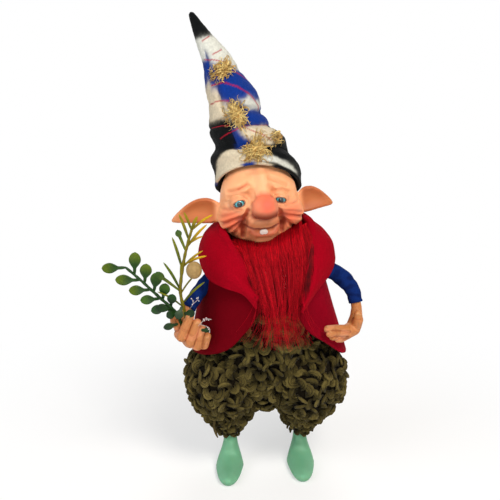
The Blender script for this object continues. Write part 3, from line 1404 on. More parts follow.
@dataclass
class Vest:
    """One round of red felt, folded over at the neck into a collar. Lines run round the body from the
    figure's right chest to its left, in mm, with heights above the hem."""

    hem_z: float = 0.100
    fold: float = 0.0056
    felt: float = 0.0019
    belly: float = 0.0035
    columns: int = 170
    rows: int = 60

    HEM = (
        (-5, -48, 45), (-14, -48.5, 30), (-27, -44.5, 14), (-43.5, -32, 4.5), (-54.5, -13, 1),
        (-55.5, 12, 1.5), (-42, 37, 1.5), (-10, 49, 1), (24, 46.5, 1), (49, 29, 1), (59.5, 2, -1),
        (57.5, -18, 0), (43, -34.5, 15), (30, -46, 27.5), (22, -49, 40),
    )
    ROLL = (
        (-5, -48, 56), (-11.5, -43.5, 64), (-18, -36, 76), (-25.5, -27, 85), (-31, -12, 91.5),
        (-30.5, 7, 94), (-23, 22.5, 95.5), (-4, 30.5, 96), (14, 27.5, 96), (25, 14.5, 95.5),
        (30.5, -3, 94.5), (31.5, -17, 90), (29.5, -30, 80), (25.5, -41, 65), (22, -48.5, 51.5),
    )
    EDGE = (
        (-7.5, -55.8, 48.5), (-16.5, -51, 57.5), (-29, -45.5, 60), (-41, -33.5, 63), (-48.5, -14, 71),
        (-48.5, 8.5, 72), (-37, 32, 69), (-6, 45, 66), (22, 42.5, 66), (41.5, 26.5, 70), (49.2, 3, 74),
        (49.5, -12, 70.5), (44.8, -25.5, 63), (34, -42.5, 56), (24, -55.2, 45.5),
    )

    def profile(self, u: np.ndarray) -> np.ndarray:
        """The felt's section at each place round the body: hem, roll, fold and collar's edge."""
        lines = (self.HEM, self.ROLL, self.EDGE)
        hem, roll, edge = (curve_through(line, u) * MM + (0, 0, self.hem_z) for line in lines)
        out = unit(roll * (1, 1, 0))
        hem_out, edge_out = unit(hem * (1, 1, 0)), unit(edge * (1, 1, 0))
        fold = (self.fold * (0.65 + 0.35 * np.sin(math.pi * u)))[:, None]
        far = roll + out * fold
        top = (roll + far) / 2 + fold * (0, 0, 0.55)
        stages = [hem]
        for share in (1 / 3, 2 / 3):
            swell = self.belly * (1 - step(u, 0.55, 0.68))[:, None] * math.sin(math.pi * share)
            stages.append(hem + (roll - hem) * share + hem_out * swell)
        stages += [roll, top, far]
        for share in (1 / 3, 2 / 3):
            swell = math.sin(math.pi * share)
            raised = edge_out * 0.0030 * swell + np.array([0, 0, 0.0025 * swell])
            stages.append(far + (edge - far) * share + raised)
        stages.append(edge)
        return np.stack(stages)

    def build(self) -> BVHTree:
        """Models the vest as one sheet of felt and returns its surface."""
        bm, u, v = grid_form(self.columns, self.rows)
        stages = self.profile(u)
        places = np.array([curve_through(stages[:, i], v[i]) for i in range(len(u))])
        wave = speckle(places * (1, 1, 0.5), 22 * MM, 3) * 0.9 + speckle(places, 9 * MM, 7) * 0.35
        move(bm, places)
        mesh = as_mesh("vest", bm)
        calm = np.clip(4 * v, 0, 1) * np.clip(np.minimum(u, 1 - u) * 8, 0, 1)
        places = places + normals(mesh) * (wave * MM * calm)[:, None]
        set_coordinates(mesh, places)
        collar = step(v, 0.34, 0.42)
        paint = over(plain("#64000C", len(u)), "#930116", collar)
        paint = over(paint, "#98021F", 0.8 * (1 - collar) * step(places[:, 0], 0.015, 0.05))
        paint = paint * (1 + 0.10 * speckle(places, 1.2 * MM, 5))[:, None]
        add_attribute(mesh, "paint", paint)
        bm = bmesh.new()
        bm.from_mesh(mesh)
        area = sum(f.calc_area() for f in bm.faces)
        bmesh.ops.recalc_face_normals(bm, faces=bm.faces)
        bm.to_mesh(mesh)
        surface = BVHTree.FromBMesh(bm)
        bm.free()
        vest = place("vest", mesh, FELT, "felt", ["vest"], self.felt)
        return surface


# Arms and hands


@dataclass
class Arms:
    """The sleeves and the clay hands. Listed places are in mm, the arms' from the shoulder's height."""

    shoulder_z: float = 0.1655
    shoulder_radius: float = 0.0064
    cuff_radius: float = 0.0050
    plump: float = 1.08
    voxel: float = 0.00042

    ROUTES = {
        Side.RIGHT: (
            (-16, 1, -2), (-21.5, 0, 0), (-35.5, -8.5, -5.5), (-47.5, -19, -14.5), (-57, -29, -26.5),
        ),
        Side.LEFT: (
            (16, 1, -2), (21.5, 0, -1), (40, -6, -1), (54.5, -10.5, -7.5), (63, -15, -16), (65.9, -18, -25.8),
        ),
    }
    # Each joint's place from the wrist and its radius
    WRISTS = {
        Side.RIGHT: ((0, 0, 0, 3.5), (-1, -1, -4, 4.2), (-3.6, -4, -13.4, 6)),
        Side.LEFT: ((0, 0, 0, 3.5), (0.6, -0.8, -3.5, 3.6), (0.3, -3, -9.9, 4.4)),
    }
    PALMS = {
        Side.RIGHT: ((-3, -4, -14, 6), (2.2, -5, -21.5, 6.2), (7.5, -5, -22.5, 5.2)),
        Side.LEFT: ((0.3, -3, -9.9, 4.4), (-2.3, -7, -17.2, 5.2), (-7.3, -11, -18.5, 5)),
    }
    # From the thumb to the little finger
    FINGERS = {
        Side.RIGHT: (
            ((-4, -5, -15, 4), (-9, -10, -6, 3), (-9.6, -12.5, 1.5, 2.3)),
            ((-6, -8, -16.5, 3.6), (-4, -13.5, -16.5, 3.4), (2.6, -16.5, 0, 2.9)),
            ((0.5, -8.5, -21.5, 3.6), (2.2, -13.5, -20.5, 3.4), (7.6, -16.5, -4.5, 2.8)),
            ((5.5, -8, -24.5, 3.5), (7.2, -12.5, -23.6, 3.3), (10.8, -15.5, -9.5, 2.7)),
            ((10.5, -6, -25.5, 3.2), (12, -10, -24, 3.1), (14.6, -14.5, -15.5, 2.5)),
        ),
        Side.LEFT: (
            ((-0.5, -8, -15, 4), (0.8, -11.5, -9, 3.4), (0.3, -12.5, -4, 2.7)),
            ((-8.5, -13, -16, 3.4), (-16.2, -19.5, -13, 2.9), (-22.6, -25, -11, 2.5)),
            ((-8.5, -13, -18, 3.4), (-15.5, -20.5, -16, 2.9), (-21.2, -26.5, -14, 2.5)),
            ((-8, -11.5, -20, 3.3), (-14.5, -18, -19.5, 2.8), (-18.8, -24, -17.2, 2.4)),
            ((-6, -9, -21.5, 3), (-11.5, -14.5, -22.5, 2.6), (-14.8, -20.5, -20.5, 2.2)),
        ),
    }
    # The way that the nails face
    NAILS = {Side.RIGHT: (0.25, -0.80, 0.35), Side.LEFT: (-0.10, -0.55, 0.80)}

    def route(self, side: Side) -> np.ndarray:
        """The arm's points, in metres."""
        return np.array(self.ROUTES[side]) * MM + (0, 0, self.shoulder_z)

    def wrist(self, side: Side) -> np.ndarray:
        """The end of the arm."""
        return self.route(side)[-1]

    def joints(self, side: Side, rows: Points) -> list[tuple[np.ndarray, float]]:
        """Joints as places and radii, in metres."""
        return [(self.wrist(side) + np.array(row[:3]) * MM, row[3] * MM) for row in rows]

    def sleeve(self, side: Side) -> bpy.types.Mesh:
        """A tube of jersey pulled over the arm, with drag folds at the elbow and an edge at the cuff."""
        rings, turns = 90, 48
        t = np.linspace(0, 0.985, rings)
        path = curve_through(self.route(side), t)
        form, ring, turn = tube_form(rings, turns)
        ahead = unit(np.gradient(path, axis=0))
        across = unit(np.cross(ahead, (0.0, -1.0, 0.3)))
        up = np.cross(across, ahead)
        radius = self.shoulder_radius + (self.cuff_radius - self.shoulder_radius) * t
        elbow = bump(t - 0.62, 0.30) * (0.0007 if side is Side.LEFT else 0.0002)
        cuff = np.exp(-(((t - 0.965) / 0.012) ** 2)) * 0.00035
        radius = (radius + elbow + cuff)[ring]
        rows = t[ring]
        drag = np.sin(rows * 60 + 2.2 * np.sin(turn + 1.0) + 1.3) * 0.00016
        drag += np.sin(rows * 31 - 1.7 * np.sin(2 * turn)) * 0.00020 * bump(rows - 0.6, 0.35)
        spread = np.cos(turn)[:, None] * across[ring] + np.sin(turn)[:, None] * up[ring]
        places = path[ring] + spread * (radius + drag)[:, None]
        places += spread * (speckle(places, 3.5 * MM, 11) * 0.00022)[:, None]
        set_coordinates(form, places)
        paint = over(plain("#0F2762", len(places)), "#0A1744", 0.7 * np.clip(-drag / 0.00016, 0, 1))
        add_attribute(form, "paint", paint)
        return form

    def limb(self, joints: Sequence[tuple[np.ndarray, float]]) -> list[bmesh.types.BMesh]:
        """Balls at the joints with tapered lengths between them."""
        placed = [(Vector(point), radius * self.plump) for point, radius in joints]
        made = [ball(point, (radius,) * 3, 24, 16) for point, radius in placed]
        for (start, r1), (end, r2) in zip(placed, placed[1:]):
            made.append(cone_between(start, end, (r1, r2), 24))
        return made

    def nail(self, side: Side, finger: Points) -> bpy.types.Mesh:
        """A thin nail on the finger's end, on the side that faces away from the palm."""
        (before, _), (end, radius) = self.joints(side, finger)[-2:]
        away, run = Vector(self.NAILS[side]), Vector(end - before).normalized()
        out = (away - run * away.dot(run)).normalized()
        bm = ball((0, 0, 0), (radius * 0.62, radius * 0.16, radius * 0.74), 20, 12)
        turn = Matrix((run.cross(out), out, run)).transposed().to_4x4()
        bm.transform(Matrix.Translation(Vector(end) + out * radius * 0.86 + run * radius * 0.25) @ turn)
        mesh = as_mesh("nail", bm)
        add_attribute(mesh, "paint", plain("#C98A58", len(mesh.vertices)))
        return mesh

    def off_finger(self, co: np.ndarray, joints: Sequence[tuple[np.ndarray, float]]) -> np.ndarray:
        """Distance of each place from the finger's skin."""
        far = np.full(len(co), 9.0)
        for (start, r1), (end, r2) in zip(joints, joints[1:]):
            run = end - start
            share = np.clip((co - start) @ run / (run @ run), 0, 1)
            radius = r1 + (r2 - r1) * share
            far = np.minimum(far, np.linalg.norm(co - start - share[:, None] * run, axis=1) - radius)
        return far

    def knuckle(self, co: np.ndarray, joints: Sequence[tuple[np.ndarray, float]]) -> np.ndarray:
        """How far each place lies in the two lines across the finger's last bend, from 0 to 1."""
        (start, _), (end, _) = joints[-2:]
        run = end - start
        along = (co - start) @ run / (run @ run)
        far = np.linalg.norm(co - start - np.clip(along, 0, 1)[:, None] * run, axis=1)
        lines = [bump((along - spot) * np.linalg.norm(run), 0.6 * MM) for spot in (0.40, 0.47)]
        return np.max(lines, axis=0) * (far < 4.2 * MM)

    def hand(self, side: Side) -> bpy.types.Mesh:
        """The hand: fingers blended to a palm, with lines where they bend and meet."""
        rows = (self.WRISTS[side], self.PALMS[side], *self.FINGERS[side])
        lumps = [lump for row in rows for lump in self.limb(self.joints(side, row))]
        mesh = skinned(f"hand_{side.word}", lumps, self.voxel, 3)
        co = coordinates(mesh)
        fingers = [self.joints(side, row) for row in self.FINGERS[side]]
        first, second = np.sort([self.off_finger(co, joints) for joints in fingers], axis=0)[:2]
        between = bump(second - first, 0.9 * MM) * (second < 1.4 * MM)
        co += normals(mesh) * (-0.35 * MM * between)[:, None]
        knuckle = np.max([self.knuckle(co, joints) for joints in fingers], axis=0)
        co += normals(mesh) * (-0.12 * MM * knuckle)[:, None]
        set_coordinates(mesh, co)
        paint = over(plain("#BB7743", len(co)), "#8A4218", 0.80 * between)
        paint = over(paint, "#A2552A", 0.55 * knuckle)
        blush = bump(first + 0.2 * MM, 2 * MM) * (speckle(co, 9 * MM, 2) > 0.1)
        add_attribute(mesh, "paint", over(paint, "#E0936A", 0.4 * blush))
        nails = [self.nail(side, finger) for finger in self.FINGERS[side]]
        return joined(f"hand_{side.word}", [mesh, *nails])

    def build(self) -> None:
        """Models both arms."""
        for side in Side:
            word = side.word
            place(f"sleeve_{word}", self.sleeve(side), SLEEVE_CLOTH, "sleeve_cloth", [f"sleeve_{word}"])
            place(f"hand_{word}", self.hand(side), SKIN, "skin", [f"hand_{word}"])


# Beard


@dataclass
class Beard:
    """A hank of combed red wool, glued along the jaw and combed down over the vest. Guides in mm."""

    face: BVHTree
    cloth: BVHTree
    locks: int = 24
    hairs: int = 3600
    wisps: int = 230
    rings: int = 8
    root_band: float = 7.0
    off_face: float = 0.4
    off_cloth: float = 1.5
    parting: float = 0.60
    seed: int = 21

    # A direction that no hair takes
    HINT = (0.05, 1.0, 0.15)
    # Where the wool starts on the face, from the figure's right to its left, as X and Z
    ROOTS = (
        (-25, 188.5), (-17, 188), (-6, 187.4), (2, 188.6), (8, 192), (16, 195.6), (22.5, 199),
        (28.5, 201),
    )
    RIGHT_GUIDE = (
        (-25, -22, 188), (-20, -33, 181.5), (-14, -43, 171), (-8.5, -51, 160), (-5.2, -56, 148),
        (-4.5, -57, 133), (-9, -56, 119),
    )
    MIDDLE_GUIDE = (
        (3, -31, 188), (5.5, -42, 178), (7.5, -51, 166), (9, -57, 152), (9.5, -59, 140),
        (9.5, -59, 128), (10.5, -57, 117),
    )
    LEFT_GUIDE = (
        (29.5, -17, 197), (33, -24, 188), (32.5, -36, 175), (29, -46, 163), (23, -53, 150),
        (20.5, -57, 136), (26.5, -57, 120),
    )

    def guide(self, s: np.ndarray, t: np.ndarray) -> np.ndarray:
        """Places on the outside of the beard.

        Args:
            s: 0 at the figure's right edge, 1 at its left.
            t: 0 at the jaw, 1 at the tips.

        Returns:
            Places in mm.
        """
        lines = (self.RIGHT_GUIDE, self.MIDDLE_GUIDE, self.LEFT_GUIDE)
        right, middle, left = (curve_through(line, t) for line in lines)
        a = ((1 - s) * (1 - 2 * s))[..., None]
        b = (4 * s * (1 - s))[..., None]
        c = (s * (2 * s - 1))[..., None]
        return a * right + b * middle + c * left

    def roots(self, s: np.ndarray, depth: np.ndarray) -> np.ndarray:
        """Where each hair is glued on the face, in mm."""
        x, z = curve_through(self.ROOTS, s).T
        z = z - depth * self.root_band
        y = [front_of(self.face, a * MM, b * MM, -20 * MM) / MM for a, b in zip(x, z)]
        return np.stack([x, np.array(y) + 0.4, z], axis=1)

    def in_front(self, paths: np.ndarray) -> np.ndarray:
        """The paths moved forward to where the vest and the face don't stop them."""
        moved = paths.copy()
        for strand in moved:
            for point in strand[1:]:
                x, z = point[0] * MM, point[2] * MM
                cloth = front_of(self.cloth, x, z, NOWHERE) / MM
                face = front_of(self.face, x, z, NOWHERE) / MM
                point[1] = min(point[1], cloth - self.off_cloth, face - self.off_face)
        soft = moved.copy()
        soft[:, 1:-1, 1] = (moved[:, :-2, 1] + 2 * moved[:, 1:-1, 1] + moved[:, 2:, 1]) / 4
        soft[:, :, 1] = np.minimum(soft[:, :, 1], moved[:, :, 1] + 0.3)
        return soft

    def colours(self, tone: np.ndarray, deep: np.ndarray) -> np.ndarray:
        """Dyed wool: bright where it lies outside, nearly black red inside.

        Args:
            tone: How bright each hair is, from 0 to 1.
            deep: How far inside each place lies, from 0 to 1.

        Returns:
            A linear colour for each strand and ring.
        """
        colour = over(linear("#7E000C"), "#E00A20", tone)[:, None]
        return over(np.repeat(colour, deep.shape[1], axis=1), "#2C0206", deep)

    def hank(self) -> bpy.types.Mesh:
        """Straight hair in locks that part and thin towards their tips."""
        random = np.random.default_rng(self.seed)
        count, t = self.hairs, np.linspace(0, 1, self.rings)
        lock_s = (np.arange(self.locks) + random.uniform(0.1, 0.9, self.locks)) / self.locks
        lock_length = random.uniform(0.44, 0.68, self.locks)
        lock_wave = random.uniform(0, 6.3, self.locks)
        lock_back = random.uniform(0.0, 1.0, self.locks)
        s = random.random(count)
        lock = np.argmin(np.abs(s[:, None] + random.normal(0, 0.02, (count, 1)) - lock_s), axis=1)
        layer = random.random(count)
        length = lock_length[lock] * random.uniform(0.70, 1.08, count)
        gather = step(t, 0.15, 0.95)[None, :] * random.uniform(0.45, 0.92, (count, 1))
        across = s[:, None] + (lock_s[lock] - s)[:, None] * gather
        paths = self.guide(np.clip(across, 0, 1), length[:, None] * t)
        ease = step(t, 0.0, 0.20)[None, :, None]
        paths = self.roots(s, layer)[:, None, :] * (1 - ease) + paths * ease
        edge = np.clip(np.sin(math.pi * s) * 1.8, 0.25, 1)[:, None]
        back = layer[:, None] * 5.0 + lock_back[lock][:, None] * 4.0 * step(t, 0.2, 0.6)
        paths[:, :, 1] += back * edge * np.sin(math.pi * np.clip(t * 0.9 + 0.06, 0, 1)) ** 0.8
        curl = np.sin(t * random.uniform(3, 8, (count, 1)) + random.uniform(0, 6.3, (count, 1)))
        wave = 1.3 * np.sin(5 * t + lock_wave[lock][:, None]) * t
        parted = np.sign(s - self.parting) * bump(s - self.parting, 0.28) * (layer < 0.60)
        paths[:, :, 0] += 3.2 * parted[:, None] * step(t, 0.22, 0.62)
        paths[:, :, 0] += (curl * 0.8 + random.normal(0, 1.2, (count, 1))) * t + wave
        paths[:, :, 1] += random.normal(0, 0.5, (count, 1)) * t
        paths = self.in_front(paths)
        radii = random.uniform(0.13, 0.21, count)[:, None] * np.linspace(1.0, 0.30, self.rings)
        inside = 0.97 * layer[:, None] ** 2 * (0.15 + 0.85 * step(t, 0.1, 0.5))
        inside = inside + 0.80 * lock_back[lock][:, None] * step(t, 0.1, 0.7)
        shown = self.colours(random.random(count), np.clip(inside, 0, 0.9))
        return strands("beard", paths * MM, radii * MM, shown, np.tile(self.HINT, (count, 1)), 3)

    def loose(self) -> bpy.types.Mesh:
        """Single hairs that wander over the trousers and the vest."""
        random = np.random.default_rng(self.seed + 1)
        count, t = self.wisps, np.linspace(0, 1, 14)
        s = random.random(count)
        paths = self.guide(s[:, None] + 0 * t, random.uniform(0.85, 1.03, (count, 1)) * t)
        ease = step(t, 0.0, 0.2)[None, :, None]
        paths = self.roots(s, 0.4 * random.random(count))[:, None, :] * (1 - ease) + paths * ease
        drift = random.normal(0.25, 1.0, (count, 1)) * 8.0
        sway = 0.8 * np.sin(t * 9 + random.uniform(0, 6, (count, 1))) * t
        paths[:, :, 0] += drift * step(t, 0.45, 1.15) + sway
        paths[:, :, 2] += 2.5 * np.abs(drift) / 8 * step(t, 0.6, 1.0)
        paths[:, :, 1] -= 0.5
        paths = self.in_front(paths)
        radii = np.full((count, 1), 0.09) * np.linspace(1.0, 0.6, len(t))
        shown = self.colours(random.random(count), np.full((count, len(t)), 0.1))
        return strands("beard_wisps", paths * MM, radii * MM, shown, np.tile(self.HINT, (count, 1)), 3)

    def build(self) -> None:
        """Models the beard."""
        place("beard", self.hank(), COMBED_WOOL, "beard_wool", ["beard"])
        place("beard_wisps", self.loose(), COMBED_WOOL, "beard_wool")


# Trousers


@dataclass
class Trousers:
    """Balloon trousers sewn from a looped wool yarn: a stuffed lining and several hundred loops."""

    hem_z: float = 0.0255
    balloon_z: float = 0.0765
    waist_z: float = 0.1535
    leg_spacing: float = 0.0305
    leg_width: float = 0.064
    leg_depth: float = 0.082
    leg_height: float = 0.062
    belly_width: float = 0.092
    belly_depth: float = 0.080
    ankle_spread: float = 0.0275
    hem_radius: float = 0.0085
    inset: float = 0.0040
    loops: int = 900
    loop_gap: float = 0.0050
    yarn: float = 0.00106
    seed: int = 77

    # Radius in mm of each of a loop's nested yarns
    NESTS = (4.5, 3.1, 1.5)
    LOOSE_END = ((-38, -14, 45), (-39.5, -16, 41), (-39.5, -17, 37), (-38, -18, 32.5), (-36.8, -18, 29.5))

    def lining(self) -> bpy.types.Mesh:
        """The stuffed lining that the loops stand on."""
        belly_height = (self.waist_z - self.balloon_z) / 2 + 0.013
        belly = (self.belly_width / 2 - self.inset, self.belly_depth / 2 - self.inset, belly_height - 0.001)
        parts = [ball((0, 0.001, self.waist_z - belly_height), belly, 48, 32)]
        leg = (
            self.leg_width / 2 - self.inset,
            self.leg_depth / 2 - self.inset,
            self.leg_height / 2 - self.inset / 2,
        )
        for side in Side:
            x = side.value * self.leg_spacing
            parts.append(ball((x, 0, self.balloon_z), leg, 48, 32))
            low = Vector((side.value * self.ankle_spread, FOOT_Y[side], self.hem_z))
            top = Vector((x * 1.02, 0, self.balloon_z - self.leg_height * 0.20))
            radii = (self.leg_width * 0.46 - self.inset, self.hem_radius - 0.0015)
            parts.append(cone_between(top, low, radii, 32))
        return skinned("lining", parts, 0.0018, 8)

    def seats(self, mesh: bpy.types.Mesh) -> tuple[np.ndarray, np.ndarray]:
        """Evenly scattered places for the loops, and the way out at each."""
        random = np.random.default_rng(self.seed)
        mesh.calc_loop_triangles()
        co, out = coordinates(mesh), normals(mesh)
        corners = np.array([t.vertices[:] for t in mesh.loop_triangles])
        a, b, c = co[corners[:, 0]], co[corners[:, 1]], co[corners[:, 2]]
        area = np.linalg.norm(np.cross(b - a, c - a), axis=1)
        order = random.choice(len(area), 20000, p=area / area.sum())
        spots = (a + b + c)[order] / 3
        ways = unit(out[corners[order, 0]])
        kept: list[int] = []
        for i, spot in enumerate(spots):
            if spot[2] > self.waist_z - 0.020:
                continue
            shrink = 0.62 if spot[2] < self.hem_z + 0.022 else 1.0
            near = spots[kept] - spot if kept else np.empty((0, 3))
            if not len(near) or np.min(np.linalg.norm(near, axis=1)) > self.loop_gap * shrink:
                kept.append(i)
            if len(kept) >= self.loops:
                break
        return spots[kept], ways[kept]

    def pile(self, spots: np.ndarray, ways: np.ndarray) -> list[bpy.types.Mesh]:
        """The loops: each a crescent of nested yarns that leaves the cloth, curls over and comes back."""
        random = np.random.default_rng(self.seed + 1)
        count, rings = len(spots), 8
        lean = unit(random.normal(0, 1, (count, 3)) + np.array((0, 0, -0.4)))
        lean = unit(lean - ways * np.sum(lean * ways, axis=1, keepdims=True))
        tilt = np.radians(random.uniform(38, 80, count)) * random.choice((-1, 1), count)
        rise = np.cos(tilt)[:, None] * ways + np.sin(tilt)[:, None] * np.cross(ways, lean)
        face = np.cross(lean, rise)
        low = step(spots[:, 2], self.hem_z + 0.002, self.hem_z + 0.026)
        size = random.uniform(0.82, 1.18, count) * (0.44 + 0.56 * low)
        a = np.linspace(-0.16, 1.16, rings) * math.pi
        arc = np.clip(np.sin(a), 0, 1)
        colour = over(linear("#3D3518"), "#685C31", random.random((count, 1)))
        made = []
        fan = random.uniform(-1.6, 1.6, (count, 1)) * MM
        for nest in self.NESTS:
            reach = (nest * size * random.uniform(0.92, 1.08, count))[:, None] * MM
            bulge = random.uniform(-0.5, 0.5, (count, 1)) * MM + fan * (nest / 3 - 1)
            paths = (
                (spots + (0.5 + 1.4 * low)[:, None] * MM * ways)[:, None, :]
                + (reach * np.cos(a))[..., None] * lean[:, None, :]
                + (reach * 1.12 * np.sin(a))[..., None] * rise[:, None, :]
                + (bulge * np.sin(a * 0.9 + 0.3))[..., None] * face[:, None, :]
            )
            paths[:, :, 2] -= 0.9 * MM * size[:, None] * arc**2
            thick = self.yarn * size[:, None] ** 0.6 * (0.72 + 0.28 * arc)
            shade = (0.55 + 0.09 * nest) * (0.30 + 0.70 * arc)[None, :, None]
            colours = np.broadcast_to(colour * shade, (count, rings, 3))
            made.append(strands("loops", paths, thick, colours, unit(face + 0.02), 6))
        return made

    def loose_end(self) -> bpy.types.Mesh:
        """A short end of yarn that hangs beside the right leg."""
        path = curve_through(self.LOOSE_END, np.linspace(0, 1, 11))[None] * MM
        radii = np.full((1, 11), 1.0 * MM)
        radii[0, -3:] *= (0.8, 0.6, 0.3)
        colours = np.tile(linear("#54482A"), (1, 11, 1))
        return strands("loose_end", path, radii, colours, np.array([[0, 1.0, 0.1]]), 8)

    def build(self) -> None:
        """Models the trousers."""
        lining = self.lining()
        spots, ways = self.seats(lining)
        add_attribute(lining, "paint", plain("#18130A", len(lining.vertices)))
        add_attribute(lining, "lie", coordinates(lining) * 300)
        place("trousers", lining, LOOP_YARN, "loop_wool", ["trousers"])
        for side in Side:
            chosen = spots[:, 0] * side.value >= 0
            parts = self.pile(spots[chosen], ways[chosen])
            if side is Side.RIGHT:
                parts.append(self.loose_end())
            place(f"trouser_loops_{side.word}", joined("loops", parts), LOOP_YARN, "loop_wool")


# Shoes


@dataclass
class Shoes:
    """Pointed mint clay shoes, modelled in one piece up to the ankle."""

    length: float = 0.050
    width: float = 0.0208
    instep: float = 0.0145
    toe_height: float = 0.0085
    ankle: float = 0.0054
    ankle_top: float = 0.030
    heel: float = 0.011
    spread: float = 0.0275
    toe_out: float = 0.0014
    rounding: int = 9

    def stations(self) -> list[tuple[float, ...]]:
        """Along Y, height of the centre, half height, half width and pitch in degrees, ankle to toe."""
        front = self.heel - self.length * 0.50
        toe, high = self.heel - self.length, self.toe_height
        return [
            (0.0, self.ankle_top, self.ankle, self.ankle, 90),
            (0.0, self.ankle_top * 0.76, self.ankle, self.ankle, 90),
            (0.0005, self.ankle_top * 0.52, 0.0078, 0.0066, 68),
            (-0.0040, self.instep * 0.62, 0.0112, self.width * 0.48, 42),
            (front * 0.62, self.instep * 0.42, 0.0082, self.width * 0.53, 18),
            (front, self.instep * 0.34, 0.0068, self.width * 0.52, 8),
            (front + (toe - front) * 0.45, high * 0.44, high * 0.56, self.width * 0.43, 4),
            (front + (toe - front) * 0.80, high * 0.44, high * 0.54, self.width * 0.32, 0),
            (toe + 0.0016, high * 0.46, high * 0.42, self.width * 0.20, 0),
            (toe, high * 0.48, high * 0.22, self.width * 0.09, 0),
        ]

    def shoe(self, side: Side) -> bpy.types.Mesh:
        """One shoe, from the ankle down and forward to the toe."""
        rings, turns = 84, 64
        form, ring, turn = tube_form(rings, turns)
        track = curve_through(self.stations(), np.linspace(0, 1, rings))
        soft = np.hanning(2 * self.rounding + 3)[1:-1]
        longer = np.pad(track, ((self.rounding,) * 2, (0, 0)), mode="reflect", reflect_type="odd")
        track = np.stack([np.convolve(line, soft / soft.sum(), "valid") for line in longer.T])
        y, z, high, wide, pitch = track[:, ring]
        rise, tip = high * np.cos(turn), np.radians(pitch)
        splay = self.toe_out * np.clip(-y / self.length, 0, 1)
        x = wide * np.sin(turn) + side.value * (self.spread + splay)
        places = np.stack([x, y - rise * np.sin(tip) + FOOT_Y[side], z + rise * np.cos(tip)], axis=1)
        dents = speckle(places, 12 * MM, 5 + side.value) * 0.00030
        places[:, 2] = np.maximum(places[:, 2] + dents * (places[:, 2] > 0.002), 0.0)
        set_coordinates(form, places)
        bm = bmesh.new()
        bm.from_mesh(form)
        bpy.data.meshes.remove(form)
        bmesh.ops.recalc_face_normals(bm, faces=bm.faces)
        upper = [v for v in bm.verts if 0.004 < v.co.z < 0.027]
        smoothed(bm, upper, 0.5, 100)
        mesh = as_mesh("shoe", bm)
        paint = over(plain("#67A27D", len(places)), "#578F6E", 0.5 * step(-places[:, 2], -0.006, 0.0))
        paint = over(paint, "#76B08B", 0.5 * bump(places[:, 1] + 0.036 - FOOT_Y[side], 0.008))
        add_attribute(mesh, "paint", paint)
        return mesh

    def build(self) -> None:
        """Models both shoes."""
        for side in Side:
            place(f"shoe_{side.word}", self.shoe(side), MINT_CLAY, "shoe_clay", [f"shoe_{side.word}"])


# Greenery


